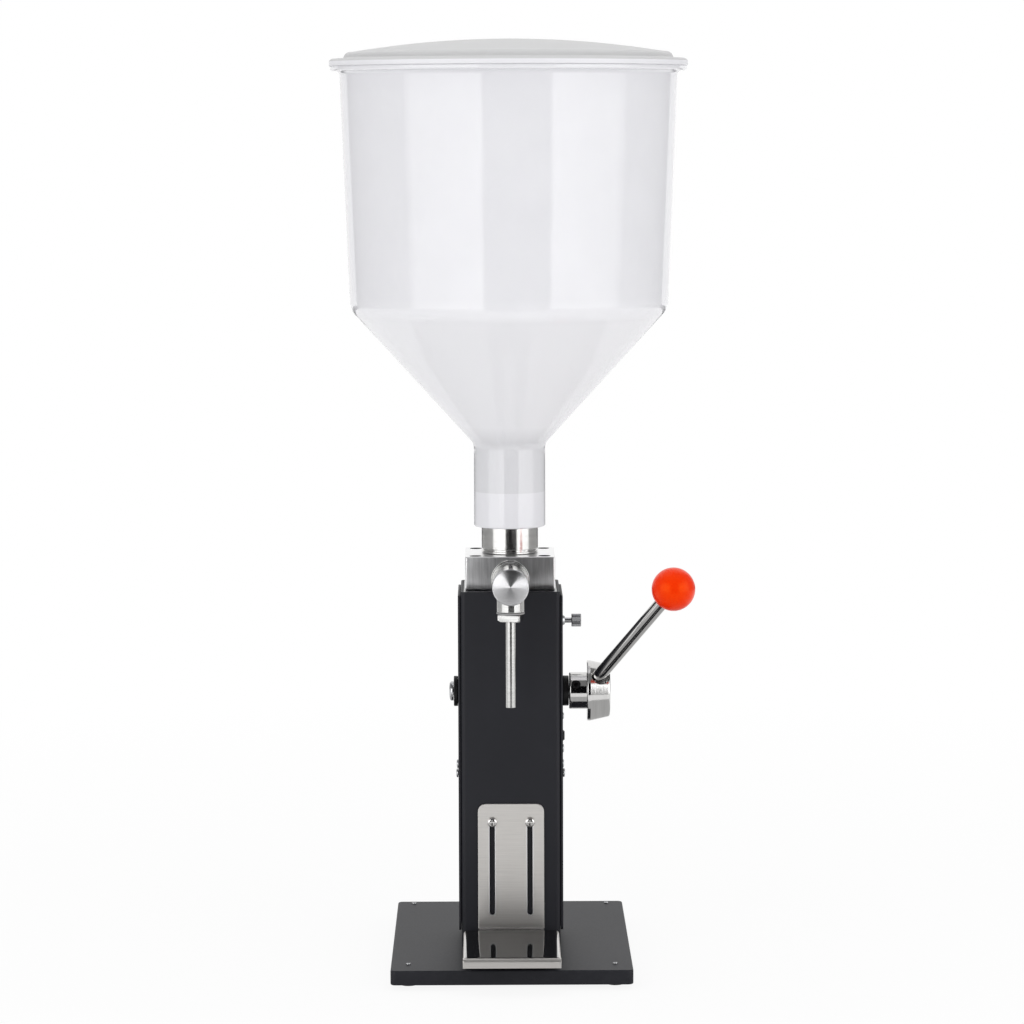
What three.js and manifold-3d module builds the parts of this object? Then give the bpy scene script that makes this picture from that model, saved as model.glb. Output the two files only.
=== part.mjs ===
// A manual filling machine for liquids: a lever turns a pinion, the pinion drives a toothed
// piston rod up and down in a barrel, and two spring valves lead the product from the hopper
// to the nozzle. Millimetres, +Z up. The machine is drawn about its pump axis, on the table.
import * as THREE from "three";
import { mergeVertices } from "three/addons/utils/BufferGeometryUtils.js";
import Module from "manifold-3d";

const wasm = await Module();
wasm.setup();

// Shared clearances and finish of the faceting
const seat = 0.3; // between pieces that lie against each other
const overrun = 1; // how far a cutter runs past what it cuts
const weld = 1e-4; // vertices closer than this are one
const smallSides = 8;
const mediumSides = 16;
const pumpSides = 24;
const largeSides = 28;
const cornerSteps = 2;
const wallSteps = 2;
const roofSteps = 1;

// Base plate and its feet
const baseWidth = 180;
const baseDepth = 250;
const baseThickness = 11;
const baseCorner = 4;
const footHeight = 4;
const footDiameter = 15;
const footInsetSide = 13;
const footInsetFront = 22;
const footInsetBack = 9.5;
const footScrewDiameter = 3;
const footScrewHead = 5.5;
const footScrewHeadHeight = 1.5;
const footScrewEnd = 2; // above the table

// Column: a folded sheet tube with a plate on each side
const shellWidth = 75;
const shellDepth = 78.5;
const shellFront = -45.5;
const shellSheet = 2;
const shellBend = 3.5;
const shellHeight = 272;
const sidePlateThickness = 1.8;
const sidePlateInset = 2.5;
const sidePlateFoot = 12.5;
const sidePlateTop = 3;
const sidePlateCorner = 3;
const deckThickness = 8;
const spacerHeight = 20;
const spacerDepth = 58;
const spacerDrop = 62.3; // of the spacer's middle below the shaft, as the next three
const spacerMiddle = -6.5;
const sideScrewSpan = 41;
const sideScrewDiameter = 4;
const sideScrewHead = 6.8;
const sideScrewRise = 1.6;
const sideScrewReach = 10;
const upperScrewDrop = 24.9;
const upperScrewDiameter = 3;
const upperScrewHead = 5.3;
const plugDrop = 40.3;
const plugDiameter = 8.7;
const plugTip = 6.6;
const plugRise = 2;
const plugHole = 6;
const lowerScrewDrop = 50.2;

// Drive: shaft, pinion and toothed piston rod
const shaftDiameter = 12;
const shaftDrop = 78.5; // below the housing's top
const toothModule = 2;
const pinionTeeth = 16;
const pressureAngle = THREE.MathUtils.degToRad(20);
const backlash = 0.25;
const rackAddendumShare = 0.9;
const pinionAddendumShare = 1;
const dedendumShare = 1.25;
const flankSteps = 2;
const pinionWidth = 13;
const pinionBoss = 22;
const pinionBossLength = 8;
const rackWidth = 12;
const rackBack = 7; // of the rack's back behind the pump axis
const rackPitchReach = 6; // of its pitch line in front of the pump axis
const rackTeethBelow = 8;
const rackTeethAbove = 2;
const rodDiameter = 12;
const guideHeight = 46;
const guideWall = 12;
const guideCheek = 8;
const guideCheekReach = 8;
const guideOffset = 9.5; // of the guide's middle below the shaft
const bushDiameter = 18;
const bushFlange = 23;
const leftFlange = 3.1;
const rightFlange = 4.4;
const bushInner = 3;
const endScrewHead = 14.8;
const endScrewRise = 3.3;
const endScrewShank = 6;
const endScrewReach = 14;

// Lever: hub, rod and ball
const collarDiameter = 28;
const collarLength = 13.6;
const collarChamfer = 1.2;
const hubDiameter = 46;
const hubRim = 2.4;
const hubLength = 17.4;
const hubTaper = 3.3;
const hubEdge = 1.5;
const hubBoreReach = 24;
const leverPitch = THREE.MathUtils.degToRad(42); // above the horizontal, toward the front
const leverTilt = THREE.MathUtils.degToRad(24); // outward, away from the column
const leverRoot = 14.8; // where the rod's line crosses the shaft line, past the collar's face
const leverLength = 147;
const leverDiameter = 10.2;
const leverSocket = 14;
const spotFace = 15.6;
const spotDepth = 21.3;
const ballDiameter = 32.5;
const ballSocket = 11;
const ballBands = 12;
const setScrewDiameter = 6.4;
const setScrewLength = 6;
const setScrewSink = 0.9;
const setScrewOffset = 5.1;
const setScrewKey = 3.2;
const setScrewPitch = THREE.MathUtils.degToRad(22);

// Pump: barrel, piston and head block
const boreDiameter = 44;
const barrelWall = 3;
const barrelFlange = 58;
const barrelFlangeThickness = 2.4;
const barrelLength = 53;
const gasketThickness = 1;
const stroke = 33;
const pistonHeight = 14;
const pistonSkirt = 3;
const pistonTop = 2.3; // below the head block at the end of the stroke
const pistonHub = 22;
const pistonSocket = 9;
const sealHeight = 4;
const sealDepth = 3;
const sealRunning = 0.1;
const headWidth = 68;
const headDepth = 66;
const headHeight = 25;
const headChamfer = 0.8;
const boltAcross = 52;
const boltAlong = 51;
const boltDiameter = 5;
const boltHead = 8.5;
const boltHeadHeight = 5;
const boltSink = 0.9;
const boltKey = 4;
const boltReach = 9;
const chamberDiameter = 30;
const inletSeat = 18;
const inletSeatLip = 3;
const neckSpigot = 5;
const neckPort = 24;
const neckSpigotWall = 2.7;
const neckDiameter = 43;
const neckWall = 4.5;
const neckTop = 43; // above the head block
const neckGroove = 0.9;
const neckGrooveHeight = 1.6;
const neckFoot = 1.6;

// Inlet valve, its cage and its spring
const inletDisc = 26;
const inletDiscThickness = 3.2;
const inletNose = 16.6;
const inletNoseTip = 12;
const inletNoseHeight = 2.4;
const valveStem = 5;
const inletStemLength = 7.5;
const inletTravel = 4;
const cageThickness = 2.5;
const cageLift = 0.7;
const cageRing = 3;
const cageHub = 15;
const cageSpoke = 4;
const cageSpokes = 3;
const springRadius = 5.6;
const springWire = 1.1;
const springSides = 5;
const springSteps = 8;
const inletTurns = 4;

// Discharge tube, outlet valve, cap and nozzle
const tubeDiameter = 25;
const tubeBore = 19;
const tubeDrop = 2.9; // of the tube's line below the block's middle
const tubeFlange = 29;
const tubeFlangeThickness = 3;
const tubeFlangeStep = 27;
const tubeFlangeStepLength = 1.5;
const tubeReach = 43;
const tubeStub = 6;
const tubeStubDiameter = 18;
const tubeSeat = 12;
const tubeSeatDepth = 3;
const spoutDiameter = 21.4;
const spoutBore = 14;
const spoutSetback = 20.5; // of the spout's line behind the cap's face
const spoutDrop = 20.5; // of the spout's end below the tube's line
const outletDisc = 17;
const outletDiscThickness = 3;
const outletNose = 10.6;
const outletNoseTip = 8.4;
const outletNoseLength = 3.2;
const outletStemLength = 12;
const outletTravel = 5;
const outletTurns = 5;
const capDiameter = 27.2;
const capLength = 9;
const capChamfer = 1.2;
const capSpigot = 6;
const capStem = 6;
const capSpringGap = 19.7;
const capCollar = 15;
const capCollarThickness = 2;
const washerThickness = 1.2;
const washerDiameter = 21;
const adapterAcross = 17;
const adapterHeight = 5.2;
const adapterChamfer = 2;
const adapterTurn = THREE.MathUtils.degToRad(-9);
const adapterStub = 9;
const adapterBore = 4.6;
const nozzleDiameter = 7.7;
const nozzleWall = 0.8;
const nozzleLength = 68;
const nozzleSocket = 3;

// Hopper and lid
const hopperWall = 3.5;
const spigotDiameter = 54.4;
const spigotFoot = 20.3; // above the head block
const spigotTop = 84.1;
const coneTop = 186.4;
const shoulderDiameter = 241.2;
const rimDiameter = 255.4;
const rimHeight = 367;
const rimReach = 6.9;
const coneFillet = 11;
const shoulderFillet = 16;
const rimFillet = 7;
const socketShoulder = 4;
const socketLip = 4;
const lidOverhang = 0.6; // of the lid's bead past the hopper's rim
const lidWall = 2.5;
const lidBeadWidth = 7.5;
const lidBeadHeight = 5.4;
const lidBeadRound = 4.6;
const lidBeadEase = 0.8;
const lidRoof = 249;
const lidShoulder = 4.6;
const lidShoulderFillet = 4;
const lidRise = 14.8;
const lidPlugDepth = 9;
const lidPlugWall = 2.5;
const lidPlugGap = 1.4;
const lidPlugTopShare = 0.7; // of the shoulder's height, where the ring meets the roof

// Adjustable bottle tray and its screws
const traySheet = 1.5;
const trayBend = 1.6;
const trayPlateWidth = 50;
const trayPlateTop = 110.8; // above the base plate
const trayPlateCorner = 6;
const trayShelfHeight = 14.4;
const trayShelfWidth = 72.4;
const trayShelfReach = 100.5;
const trayNeck = 4;
const trayLip = 7.6;
const trayNotch = 3.4;
const slotSpacing = 28.6;
const slotWidth = 4.5;
const slotLow = 27.4; // of the slot's lower end centre above the base plate
const trayScrewHeight = 96.7;
const trayScrewDiameter = 4;
const trayScrewHead = 7.4;
const trayScrewRise = 2.8;
const trayScrewReach = 9;

// Thumb screw that holds the barrel, in its threaded insert
const thumbDrop = 27.4; // below the housing's top
const thumbDiameter = 4;
const thumbHead = 9.8;
const thumbHeadLength = 7.4;
const thumbStandoff = 7.4; // of the head from the side plate
const thumbFlutes = 16;
const thumbFlute = 0.5;
const insertFlange = 8.6;
const insertTip = 6.4;
const insertRise = 2;
const insertBody = 6.6;
const insertReach = 5;


// Levels and places that follow from the sizes above
const baseTop = footHeight + baseThickness;
const shellTop = baseTop + shellHeight;
const shellBack = shellFront + shellDepth;
const shellMiddle = (shellFront + shellBack) / 2;
const shellHalf = shellWidth / 2;
const innerHalf = shellHalf - shellSheet;
const insideHalf = innerHalf - seat;
const plateInside = shellHalf + seat;
const plateOutside = plateInside + sidePlateThickness;
const headBottom = shellTop + seat;
const headTop = headBottom + headHeight;
const headFront = -headDepth / 2;
const shaftZ = shellTop - shaftDrop;
const pitchRadius = (toothModule * pinionTeeth) / 2;
const toothPitch = Math.PI * toothModule;
const shaftY = -rackPitchReach - pitchRadius;
const spacerMiddleZ = shaftZ - spacerDrop;
const spacerBottom = spacerMiddleZ - spacerHeight / 2;
const spacerTop = spacerBottom + spacerHeight;
const guideMiddleY = rackBack + seat + guideWall / 2;
const barrelRadius = boreDiameter / 2 + barrelWall;
const flangeTop = shellTop - gasketThickness - seat;
const flangeBottom = flangeTop - barrelFlangeThickness;
const pistonRest = headBottom - pistonTop - stroke;
const pistonBottom = pistonRest - pistonHeight;
const recessFloor = headTop - neckSpigot - seat;
const chamberTop = recessFloor - inletSeatLip;
const cageTop = headBottom + cageLift + cageThickness;
const tubeZ = headBottom + headHeight / 2 - tubeDrop;
const tubeStart = headFront - shellFront + seat; // in front of the head block, as the next
const tubeEnd = tubeStart + tubeReach;
const capFace = tubeEnd + seat + capLength;
const spoutPlace = capFace - spoutSetback;
const washerTop = -spoutDrop - seat; // below the tube's line, as the next
const adapterTop = washerTop - washerThickness - seat;
const leftEnd = -(plateOutside + seat + leftFlange);
const collarFace = plateOutside + seat + rightFlange + seat;
const trayFace = shellFront - seat - traySheet;
const trayShelfTop = baseTop + trayShelfHeight;
const trayFront = trayFace - trayShelfReach;

// Materials
const finish = (color, roughness, metalness) =>
  new THREE.MeshStandardMaterial({ color, roughness, metalness });
const blackCoat = finish(0x1b1c20, 0.5, 0.2);
const brushedSteel = finish(0xb4b6ba, 0.35, 1);
const polishedSteel = finish(0xd2d4d8, 0.12, 1);
const zincSteel = finish(0xa6a8aa, 0.3, 1);
const blackPlastic = finish(0x111113, 0.45, 0);
const rubber = finish(0x151515, 0.85, 0);
const whiteSeal = finish(0xeeeeea, 0.5, 0);
const milkyPlastic = finish(0xe6e6eb, 0.4, 0);
const knobOrange = finish(0xff3a08, 0.15, 0);

// A closed geometry as a solid; a profile may have been drawn either way round
function solid(geometry) {
  const source = geometry.index ? geometry.toNonIndexed() : geometry;
  const bare = new THREE.BufferGeometry();
  bare.setAttribute("position", source.getAttribute("position"));
  const merged = mergeVertices(bare, weld);
  const corners = merged.index.array;
  const faces = [];
  for (let i = 0; i < corners.length; i += 3) {
    const [a, b, c] = [corners[i], corners[i + 1], corners[i + 2]];
    if (a !== b && b !== c && c !== a) faces.push([a, b, c]);
  }
  const build = (list) =>
    new wasm.Manifold(
      new wasm.Mesh({
        numProp: 3,
        vertProperties: merged.attributes.position.array,
        triVerts: new Uint32Array(list.flat()),
      }),
    );
  const made = build(faces);
  return made.volume() < 0 ? build(faces.map(([a, b, c]) => [a, c, b])) : made;
}
const asSolid = (shape) => (shape.isBufferGeometry ? solid(shape) : shape);
const join = (first, ...rest) =>
  rest.reduce((sum, next) => sum.add(asSolid(next)), asSolid(first));
const cut = (first, ...rest) =>
  rest.reduce((sum, next) => sum.subtract(asSolid(next)), asSolid(first));
const common = (first, second) => asSolid(first).intersect(asSolid(second));

// A named piece, put into its group
function piece(group, name, shape, material) {
  const { vertProperties, triVerts } = asSolid(shape).getMesh();
  const geometry = new THREE.BufferGeometry();
  geometry.setAttribute(
    "position",
    new THREE.BufferAttribute(vertProperties, 3),
  );
  geometry.setIndex(new THREE.BufferAttribute(triVerts, 1));
  geometry.computeVertexNormals();
  const mesh = new THREE.Mesh(geometry, material);
  mesh.name = name;
  group.add(mesh);
  return mesh;
}
function groupAt(parent, x, y, z) {
  const group = new THREE.Group();
  group.position.set(x, y, z);
  parent.add(group);
  return group;
}

// Round pieces: [radius, height] pairs turned about an axis, the height running along it
const turns = {
  x: (g) => g.rotateZ(-Math.PI / 2),
  y: (g) => g,
  z: (g) => g.rotateX(Math.PI / 2),
};
function revolve(profile, sides, axis = "z") {
  const points = profile.map(([r, h]) => new THREE.Vector2(Math.max(r, 0), h));
  points.push(points[0].clone());
  return turns[axis](new THREE.LatheGeometry(points, sides));
}
function disc(diameter, from, to, sides, axis) {
  const r = diameter / 2;
  return revolve(
    [
      [0, from],
      [r, from],
      [r, to],
      [0, to],
    ],
    sides,
    axis,
  );
}
function ring(outer, inner, from, to, sides, axis) {
  const [r, q] = [outer / 2, inner / 2];
  return revolve(
    [
      [q, from],
      [r, from],
      [r, to],
      [q, to],
    ],
    sides,
    axis,
  );
}

// Flat pieces: an outline extruded along an axis between two places on it
const frames = {
  x: new THREE.Matrix4().makeBasis(
    new THREE.Vector3(0, 1, 0),
    new THREE.Vector3(0, 0, 1),
    new THREE.Vector3(1, 0, 0),
  ),
  y: new THREE.Matrix4().makeBasis(
    new THREE.Vector3(1, 0, 0),
    new THREE.Vector3(0, 0, 1),
    new THREE.Vector3(0, -1, 0),
  ),
  z: new THREE.Matrix4(),
};
function prism(shape, from, to, axis = "z") {
  const depth = to - from;
  const geometry = new THREE.ExtrudeGeometry(shape, {
    depth,
    bevelEnabled: false,
    curveSegments: cornerSteps,
  });
  geometry.translate(0, 0, axis === "y" ? -to : from);
  return geometry.applyMatrix4(frames[axis]);
}
function outline(points) {
  return new THREE.Shape(points.map(([u, v]) => new THREE.Vector2(u, v)));
}
// A rectangle with round corners; a radius for the lower and one for the upper corners
function rounded(u0, v0, u1, v1, low, high = low) {
  const shape = new THREE.Shape();
  shape.absarc(u1 - low, v0 + low, low, -Math.PI / 2, 0);
  shape.absarc(u1 - high, v1 - high, high, 0, Math.PI / 2);
  shape.absarc(u0 + high, v1 - high, high, Math.PI / 2, Math.PI);
  shape.absarc(u0 + low, v0 + low, low, Math.PI, Math.PI * 1.5);
  return shape;
}
function box(x0, x1, y0, y1, z0, z1) {
  const g = new THREE.BoxGeometry(x1 - x0, y1 - y0, z1 - z0);
  return g.translate((x0 + x1) / 2, (y0 + y1) / 2, (z0 + z1) / 2);
}

// The outline of a strip of one thickness that follows a path with round bends.
// Each corner's radius is that of the strip's middle line.
function strip(path, thickness, radii, steps = cornerSteps) {
  const at = path.map(([u, v]) => new THREE.Vector2(u, v));
  const left = [];
  const right = [];
  const put = (p, normal) => {
    left.push(p.clone().addScaledVector(normal, thickness / 2));
    right.push(p.clone().addScaledVector(normal, -thickness / 2));
  };
  const across = (d) => new THREE.Vector2(-d.y, d.x);
  const way = (i) => at[i + 1].clone().sub(at[i]).normalize();
  put(at[0], across(way(0)));
  for (let i = 1; i < at.length - 1; i++) {
    const [before, after] = [way(i - 1), way(i)];
    const turn = Math.atan2(before.cross(after), before.dot(after));
    const radius = radii[i - 1];
    const start = at[i]
      .clone()
      .addScaledVector(before, -radius * Math.tan(Math.abs(turn) / 2));
    const centre = start
      .clone()
      .addScaledVector(across(before), radius * Math.sign(turn));
    for (let k = 0; k <= steps; k++) {
      const normal = across(before).rotateAround(
        new THREE.Vector2(),
        (turn * k) / steps,
      );
      put(
        centre.clone().addScaledVector(normal, -radius * Math.sign(turn)),
        normal,
      );
    }
  }
  const last = at.length - 1;
  put(at[last], across(way(last - 1)));
  return [...left, ...right.reverse()].map((p) => [p.x, p.y]);
}

// A screw along +Z with its head's underside at zero: domed, or a cylinder with a hexagon key
const domeShares = [
  [1, 0.45],
  [0.6, 1],
];
function domeScrew(head, rise, shank, reach, sides = smallSides) {
  const dome = domeShares.map(([r, h]) => [(head / 2) * r, rise * h]);
  return revolve(
    [
      [0, -reach],
      [shank / 2, -reach],
      [shank / 2, 0],
      [head / 2, 0],
      ...dome,
      [0, rise],
    ],
    sides,
  );
}
function hexagon(across, from, to) {
  const sides = 6;
  return disc(across / Math.cos(Math.PI / sides), from, to, sides);
}
function socketScrew(head, rise, shank, reach, key) {
  const body = revolve(
    [
      [0, -reach],
      [shank / 2, -reach],
      [shank / 2, 0],
      [head / 2, 0],
      [head / 2, rise],
      [0, rise],
    ],
    smallSides,
  );
  return cut(body, hexagon(key, rise / 2, rise + overrun));
}

// A coil spring along +Z, one unbroken wire
class Coil extends THREE.Curve {
  constructor(radius, from, to, count) {
    super();
    Object.assign(this, { radius, from, to, count });
  }
  getPoint(t, target = new THREE.Vector3()) {
    const angle = t * this.count * Math.PI * 2;
    return target.set(
      this.radius * Math.cos(angle),
      this.radius * Math.sin(angle),
      THREE.MathUtils.lerp(this.from, this.to, t),
    );
  }
}
function spring(from, to, count) {
  const wire = Array.from({ length: springSides }, (_, k) => {
    const angle = (Math.PI * 2 * k) / springSides;
    return [Math.cos(angle), Math.sin(angle)].map((v) => (v * springWire) / 2);
  });
  const inset = seat + springWire / 2;
  return new THREE.ExtrudeGeometry(outline(wire), {
    steps: count * springSteps,
    extrudePath: new Coil(springRadius, from + inset, to - inset, count),
  });
}

// Involute pinion with a tooth toward +Y, in the Y and Z plane
function pinionOutline() {
  const base = pitchRadius * Math.cos(pressureAngle);
  const tip = pitchRadius + toothModule * pinionAddendumShare;
  const root = pitchRadius - toothModule * dedendumShare;
  const involute = (angle) => Math.tan(angle) - angle;
  const half =
    Math.PI / pinionTeeth / 2 - backlash / 2 / pitchRadius / 2 + involute(pressureAngle);
  const flank = [[root, half]];
  for (let k = 0; k <= flankSteps; k++) {
    const r = base + ((tip - base) * k) / flankSteps;
    flank.push([r, half - involute(Math.acos(base / r))]);
  }
  const tooth = [
    ...flank.map(([r, a]) => [r, -a]),
    ...flank.reverse().map(([r, a]) => [r, a]),
  ];
  const points = [];
  for (let n = 0; n < pinionTeeth; n++) {
    const middle = (Math.PI * 2 * n) / pinionTeeth;
    for (const [r, a] of tooth) {
      points.push([r * Math.cos(middle + a), r * Math.sin(middle + a)]);
    }
  }
  return outline(points);
}
// Toothed bar facing -Y, with a gap at the shaft's height
function rackOutline(bottom) {
  const tipDepth = toothModule * rackAddendumShare;
  const rootDepth = toothModule * dedendumShare;
  const half = toothPitch / 4 - backlash / 4;
  const slope = Math.tan(pressureAngle);
  const top = shaftZ + toothPitch * rackTeethAbove;
  const rootLine = -rackPitchReach + rootDepth;
  const tipLine = -rackPitchReach - tipDepth;
  const points = [
    [rackBack, bottom],
    [rackBack, top],
    [rootLine, top],
  ];
  for (let n = rackTeethAbove - 1; n >= -rackTeethBelow; n--) {
    const middle = shaftZ + toothPitch * (n + 0.5);
    points.push(
      [rootLine, middle + half + rootDepth * slope],
      [tipLine, middle + half - tipDepth * slope],
      [tipLine, middle - half + tipDepth * slope],
      [rootLine, middle - half - rootDepth * slope],
    );
  }
  points.push([rootLine, bottom]);
  return outline(points.reverse());
}

const machine = new THREE.Group();

// Base plate with four rubber feet, each held by a screw from above
const halfBase = [baseWidth / 2, baseDepth / 2];
const feet = {
  front_left: [-halfBase[0] + footInsetSide, -halfBase[1] + footInsetFront],
  front_right: [halfBase[0] - footInsetSide, -halfBase[1] + footInsetFront],
  back_left: [-halfBase[0] + footInsetSide, halfBase[1] - footInsetBack],
  back_right: [halfBase[0] - footInsetSide, halfBase[1] - footInsetBack],
};
const footHole = footScrewDiameter + 2 * seat;
const basePlate = prism(
  rounded(-halfBase[0], -halfBase[1], halfBase[0], halfBase[1], baseCorner),
  footHeight,
  baseTop,
);
piece(
  machine,
  "base_plate",
  cut(
    basePlate,
    ...Object.values(feet).map(([x, y]) =>
      disc(footHole, 0, baseTop + overrun, smallSides).translate(x, y, 0),
    ),
  ),
  blackCoat,
);
const footShares = [0.92, 1];
for (const [corner, [x, y]] of Object.entries(feet)) {
  const [low, high] = footShares.map((share) => (footDiameter / 2) * share);
  const body = revolve(
    [
      [0, 0],
      [low, 0],
      [high, footHeight - seat],
      [0, footHeight - seat],
    ],
    smallSides,
  );
  const hole = disc(footHole, footScrewEnd - seat, footHeight, smallSides);
  const place = groupAt(machine, x, y, 0);
  piece(place, "foot_" + corner, cut(body, hole), rubber);
  piece(
    groupAt(place, 0, 0, baseTop + seat),
    "foot_screw_" + corner,
    domeScrew(
      footScrewHead,
      footScrewHeadHeight,
      footScrewDiameter,
      baseTop + seat - footScrewEnd,
    ),
    zincSteel,
  );
}

// Places of the screws and holes in the column's sides, as [y, z]
const pairZ = spacerMiddleZ;
const pairs = {
  front: [shellMiddle - sideScrewSpan / 2, pairZ],
  back: [shellMiddle + sideScrewSpan / 2, pairZ],
};
const upperScrew = [guideMiddleY, shaftZ - upperScrewDrop];
const plugPlace = [guideMiddleY, shaftZ - plugDrop];
const lowerScrew = [guideMiddleY, shaftZ - lowerScrewDrop];
const thumbPlace = [0, shellTop - thumbDrop];
const across = (diameter, from, to, [y, z], sides = smallSides) =>
  disc(diameter + 2 * seat, from, to, sides, "x").translate(0, y, z);
const farSide = plateOutside + overrun;
const sideHoles = (from, to) => [
  across(bushDiameter, from, to, [shaftY, shaftZ], mediumSides),
  ...Object.values(pairs).map((at) => across(sideScrewDiameter, from, to, at)),
];
const rightHoles = () => [
  across(upperScrewDiameter, 0, farSide, upperScrew),
  across(plugHole, 0, farSide, plugPlace),
  across(sideScrewDiameter, 0, farSide, lowerScrew),
  across(insertBody, 0, farSide, thumbPlace),
];

// The column: one folded sheet, closed at the back, open at the top for the deck
const trayScrews = { left: -slotSpacing / 2, right: slotSpacing / 2 };
const trayScrewZ = baseTop + trayScrewHeight;
const innerBend = shellBend - shellSheet;
const shellOutline = rounded(
  -shellHalf,
  shellFront,
  shellHalf,
  shellBack,
  shellBend,
);
shellOutline.holes.push(
  rounded(
    -innerHalf,
    shellFront + shellSheet,
    innerHalf,
    shellBack - shellSheet,
    innerBend,
  ),
);
piece(
  machine,
  "housing_shell",
  cut(
    prism(shellOutline, baseTop + seat, shellTop),
    ...sideHoles(-farSide, farSide),
    ...rightHoles(),
    ...Object.values(trayScrews).map((x) =>
      disc(
        trayScrewDiameter + 2 * seat,
        shellFront - overrun,
        shellFront + shellSheet + overrun,
        smallSides,
        "y",
      ).translate(x, 0, trayScrewZ),
    ),
  ),
  blackCoat,
);

// Side plates that carry the shaft's bushes
const plateOutline = () =>
  rounded(
    shellFront + sidePlateInset,
    baseTop + sidePlateFoot,
    shellBack - sidePlateInset,
    shellTop - sidePlateTop,
    sidePlateCorner,
  );
piece(
  machine,
  "side_plate_left",
  cut(
    prism(plateOutline(), -plateOutside, -plateInside, "x"),
    ...sideHoles(-farSide, 0),
  ),
  blackCoat,
);
piece(
  machine,
  "side_plate_right",
  cut(
    prism(plateOutline(), plateInside, plateOutside, "x"),
    ...sideHoles(0, farSide),
    ...rightHoles(),
  ),
  blackCoat,
);

// Deck across the top of the column, with the barrel's seat and the threads of four bolts
const boltPlaces = [
  [-boltAcross / 2, -boltAlong / 2],
  [boltAcross / 2, -boltAlong / 2],
  [-boltAcross / 2, boltAlong / 2],
  [boltAcross / 2, boltAlong / 2],
];
const deckFloor = flangeBottom - seat;
piece(
  machine,
  "top_deck",
  cut(
    prism(
      rounded(
        -insideHalf,
        shellFront + shellSheet + seat,
        insideHalf,
        shellBack - shellSheet - seat,
        innerBend,
      ),
      shellTop - deckThickness,
      shellTop,
    ),
    disc(barrelRadius * 2 + 2 * seat, 0, headTop, pumpSides),
    disc(barrelFlange + 2 * seat, deckFloor, headTop, pumpSides),
    ...boltPlaces.map(([x, y]) =>
      disc(boltDiameter + 2 * seat, 0, headTop, smallSides).translate(x, y, 0),
    ),
  ),
  zincSteel,
);

// Spacer between the sides, on which the piston rod comes to rest
piece(
  machine,
  "frame_spacer",
  cut(
    box(
      -insideHalf,
      insideHalf,
      spacerMiddle - spacerDepth / 2,
      spacerMiddle + spacerDepth / 2,
      spacerBottom,
      spacerTop,
    ),
    ...Object.values(pairs).flatMap((at) => [
      across(sideScrewDiameter, plateOutside - sideScrewReach - seat, farSide, at),
      across(sideScrewDiameter, -farSide, sideScrewReach + seat - plateOutside, at),
    ]),
  ),
  zincSteel,
);

// Guide behind the piston rod, with a cheek on each side of it
const guideBottom = shaftZ - guideOffset - guideHeight / 2;
const guideTop = guideBottom + guideHeight;
const guideFace = rackBack + seat;
const cheekInside = rackWidth / 2 + seat;
const guideBar = box(
  -insideHalf,
  insideHalf,
  guideFace,
  guideFace + guideWall,
  guideBottom,
  guideTop,
);
const cheek = (side) => {
  const [a, b] = [cheekInside * side, (cheekInside + guideCheek) * side];
  return box(
    Math.min(a, b),
    Math.max(a, b),
    guideFace - guideCheekReach,
    guideFace + guideWall / 2,
    guideBottom,
    guideTop,
  );
};
piece(
  machine,
  "rack_guide",
  cut(
    join(guideBar, cheek(-1), cheek(1)),
    across(
      upperScrewDiameter,
      plateOutside - sideScrewReach - seat,
      farSide,
      upperScrew,
    ),
  ),
  whiteSeal,
);

// Screws and plug in the sides
const sideGroup = (side, [y, z], lift = seat) => {
  const place = groupAt(machine, side * (plateOutside + lift), y, z);
  place.rotation.y = (side * Math.PI) / 2;
  return place;
};
const sides = { left: -1, right: 1 };
for (const [name, side] of Object.entries(sides)) {
  for (const [row, at] of Object.entries(pairs)) {
    piece(
      sideGroup(side, at),
      `side_screw_${name}_${row}`,
      domeScrew(sideScrewHead, sideScrewRise, sideScrewDiameter, sideScrewReach),
      zincSteel,
    );
  }
}
piece(
  sideGroup(1, upperScrew),
  "side_screw_right_upper",
  domeScrew(upperScrewHead, sideScrewRise, upperScrewDiameter, sideScrewReach),
  zincSteel,
);
piece(
  sideGroup(1, lowerScrew),
  "side_screw_right_lower",
  domeScrew(sideScrewHead, sideScrewRise, sideScrewDiameter, sideScrewReach),
  zincSteel,
);
const plugReach = plateOutside - innerHalf + seat;
piece(
  sideGroup(1, plugPlace),
  "side_plug",
  revolve(
    [
      [0, -plugReach],
      [plugHole / 2, -plugReach],
      [plugHole / 2, 0],
      [plugDiameter / 2, 0],
      [plugTip / 2, plugRise],
      [0, plugRise],
    ],
    smallSides,
  ),
  blackPlastic,
);

// Bushes of the shaft, each with its flange outside
function bush(flange) {
  const bushBore = shaftDiameter / 2 + seat;
  const [start, under] = [innerHalf - bushInner, plateOutside + seat];
  return revolve(
    [
      [bushBore, start],
      [bushDiameter / 2, start],
      [bushDiameter / 2, under],
      [bushFlange / 2, under],
      [bushFlange / 2, under + flange],
      [bushBore, under + flange],
    ],
    mediumSides,
    "x",
  );
}
const shaftLine = groupAt(machine, 0, shaftY, shaftZ);
piece(shaftLine, "bush_right", bush(rightFlange), blackPlastic);
const leftBush = new THREE.Group();
leftBush.rotation.z = Math.PI;
shaftLine.add(leftBush);
piece(leftBush, "bush_left", bush(leftFlange), blackPlastic);

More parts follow.
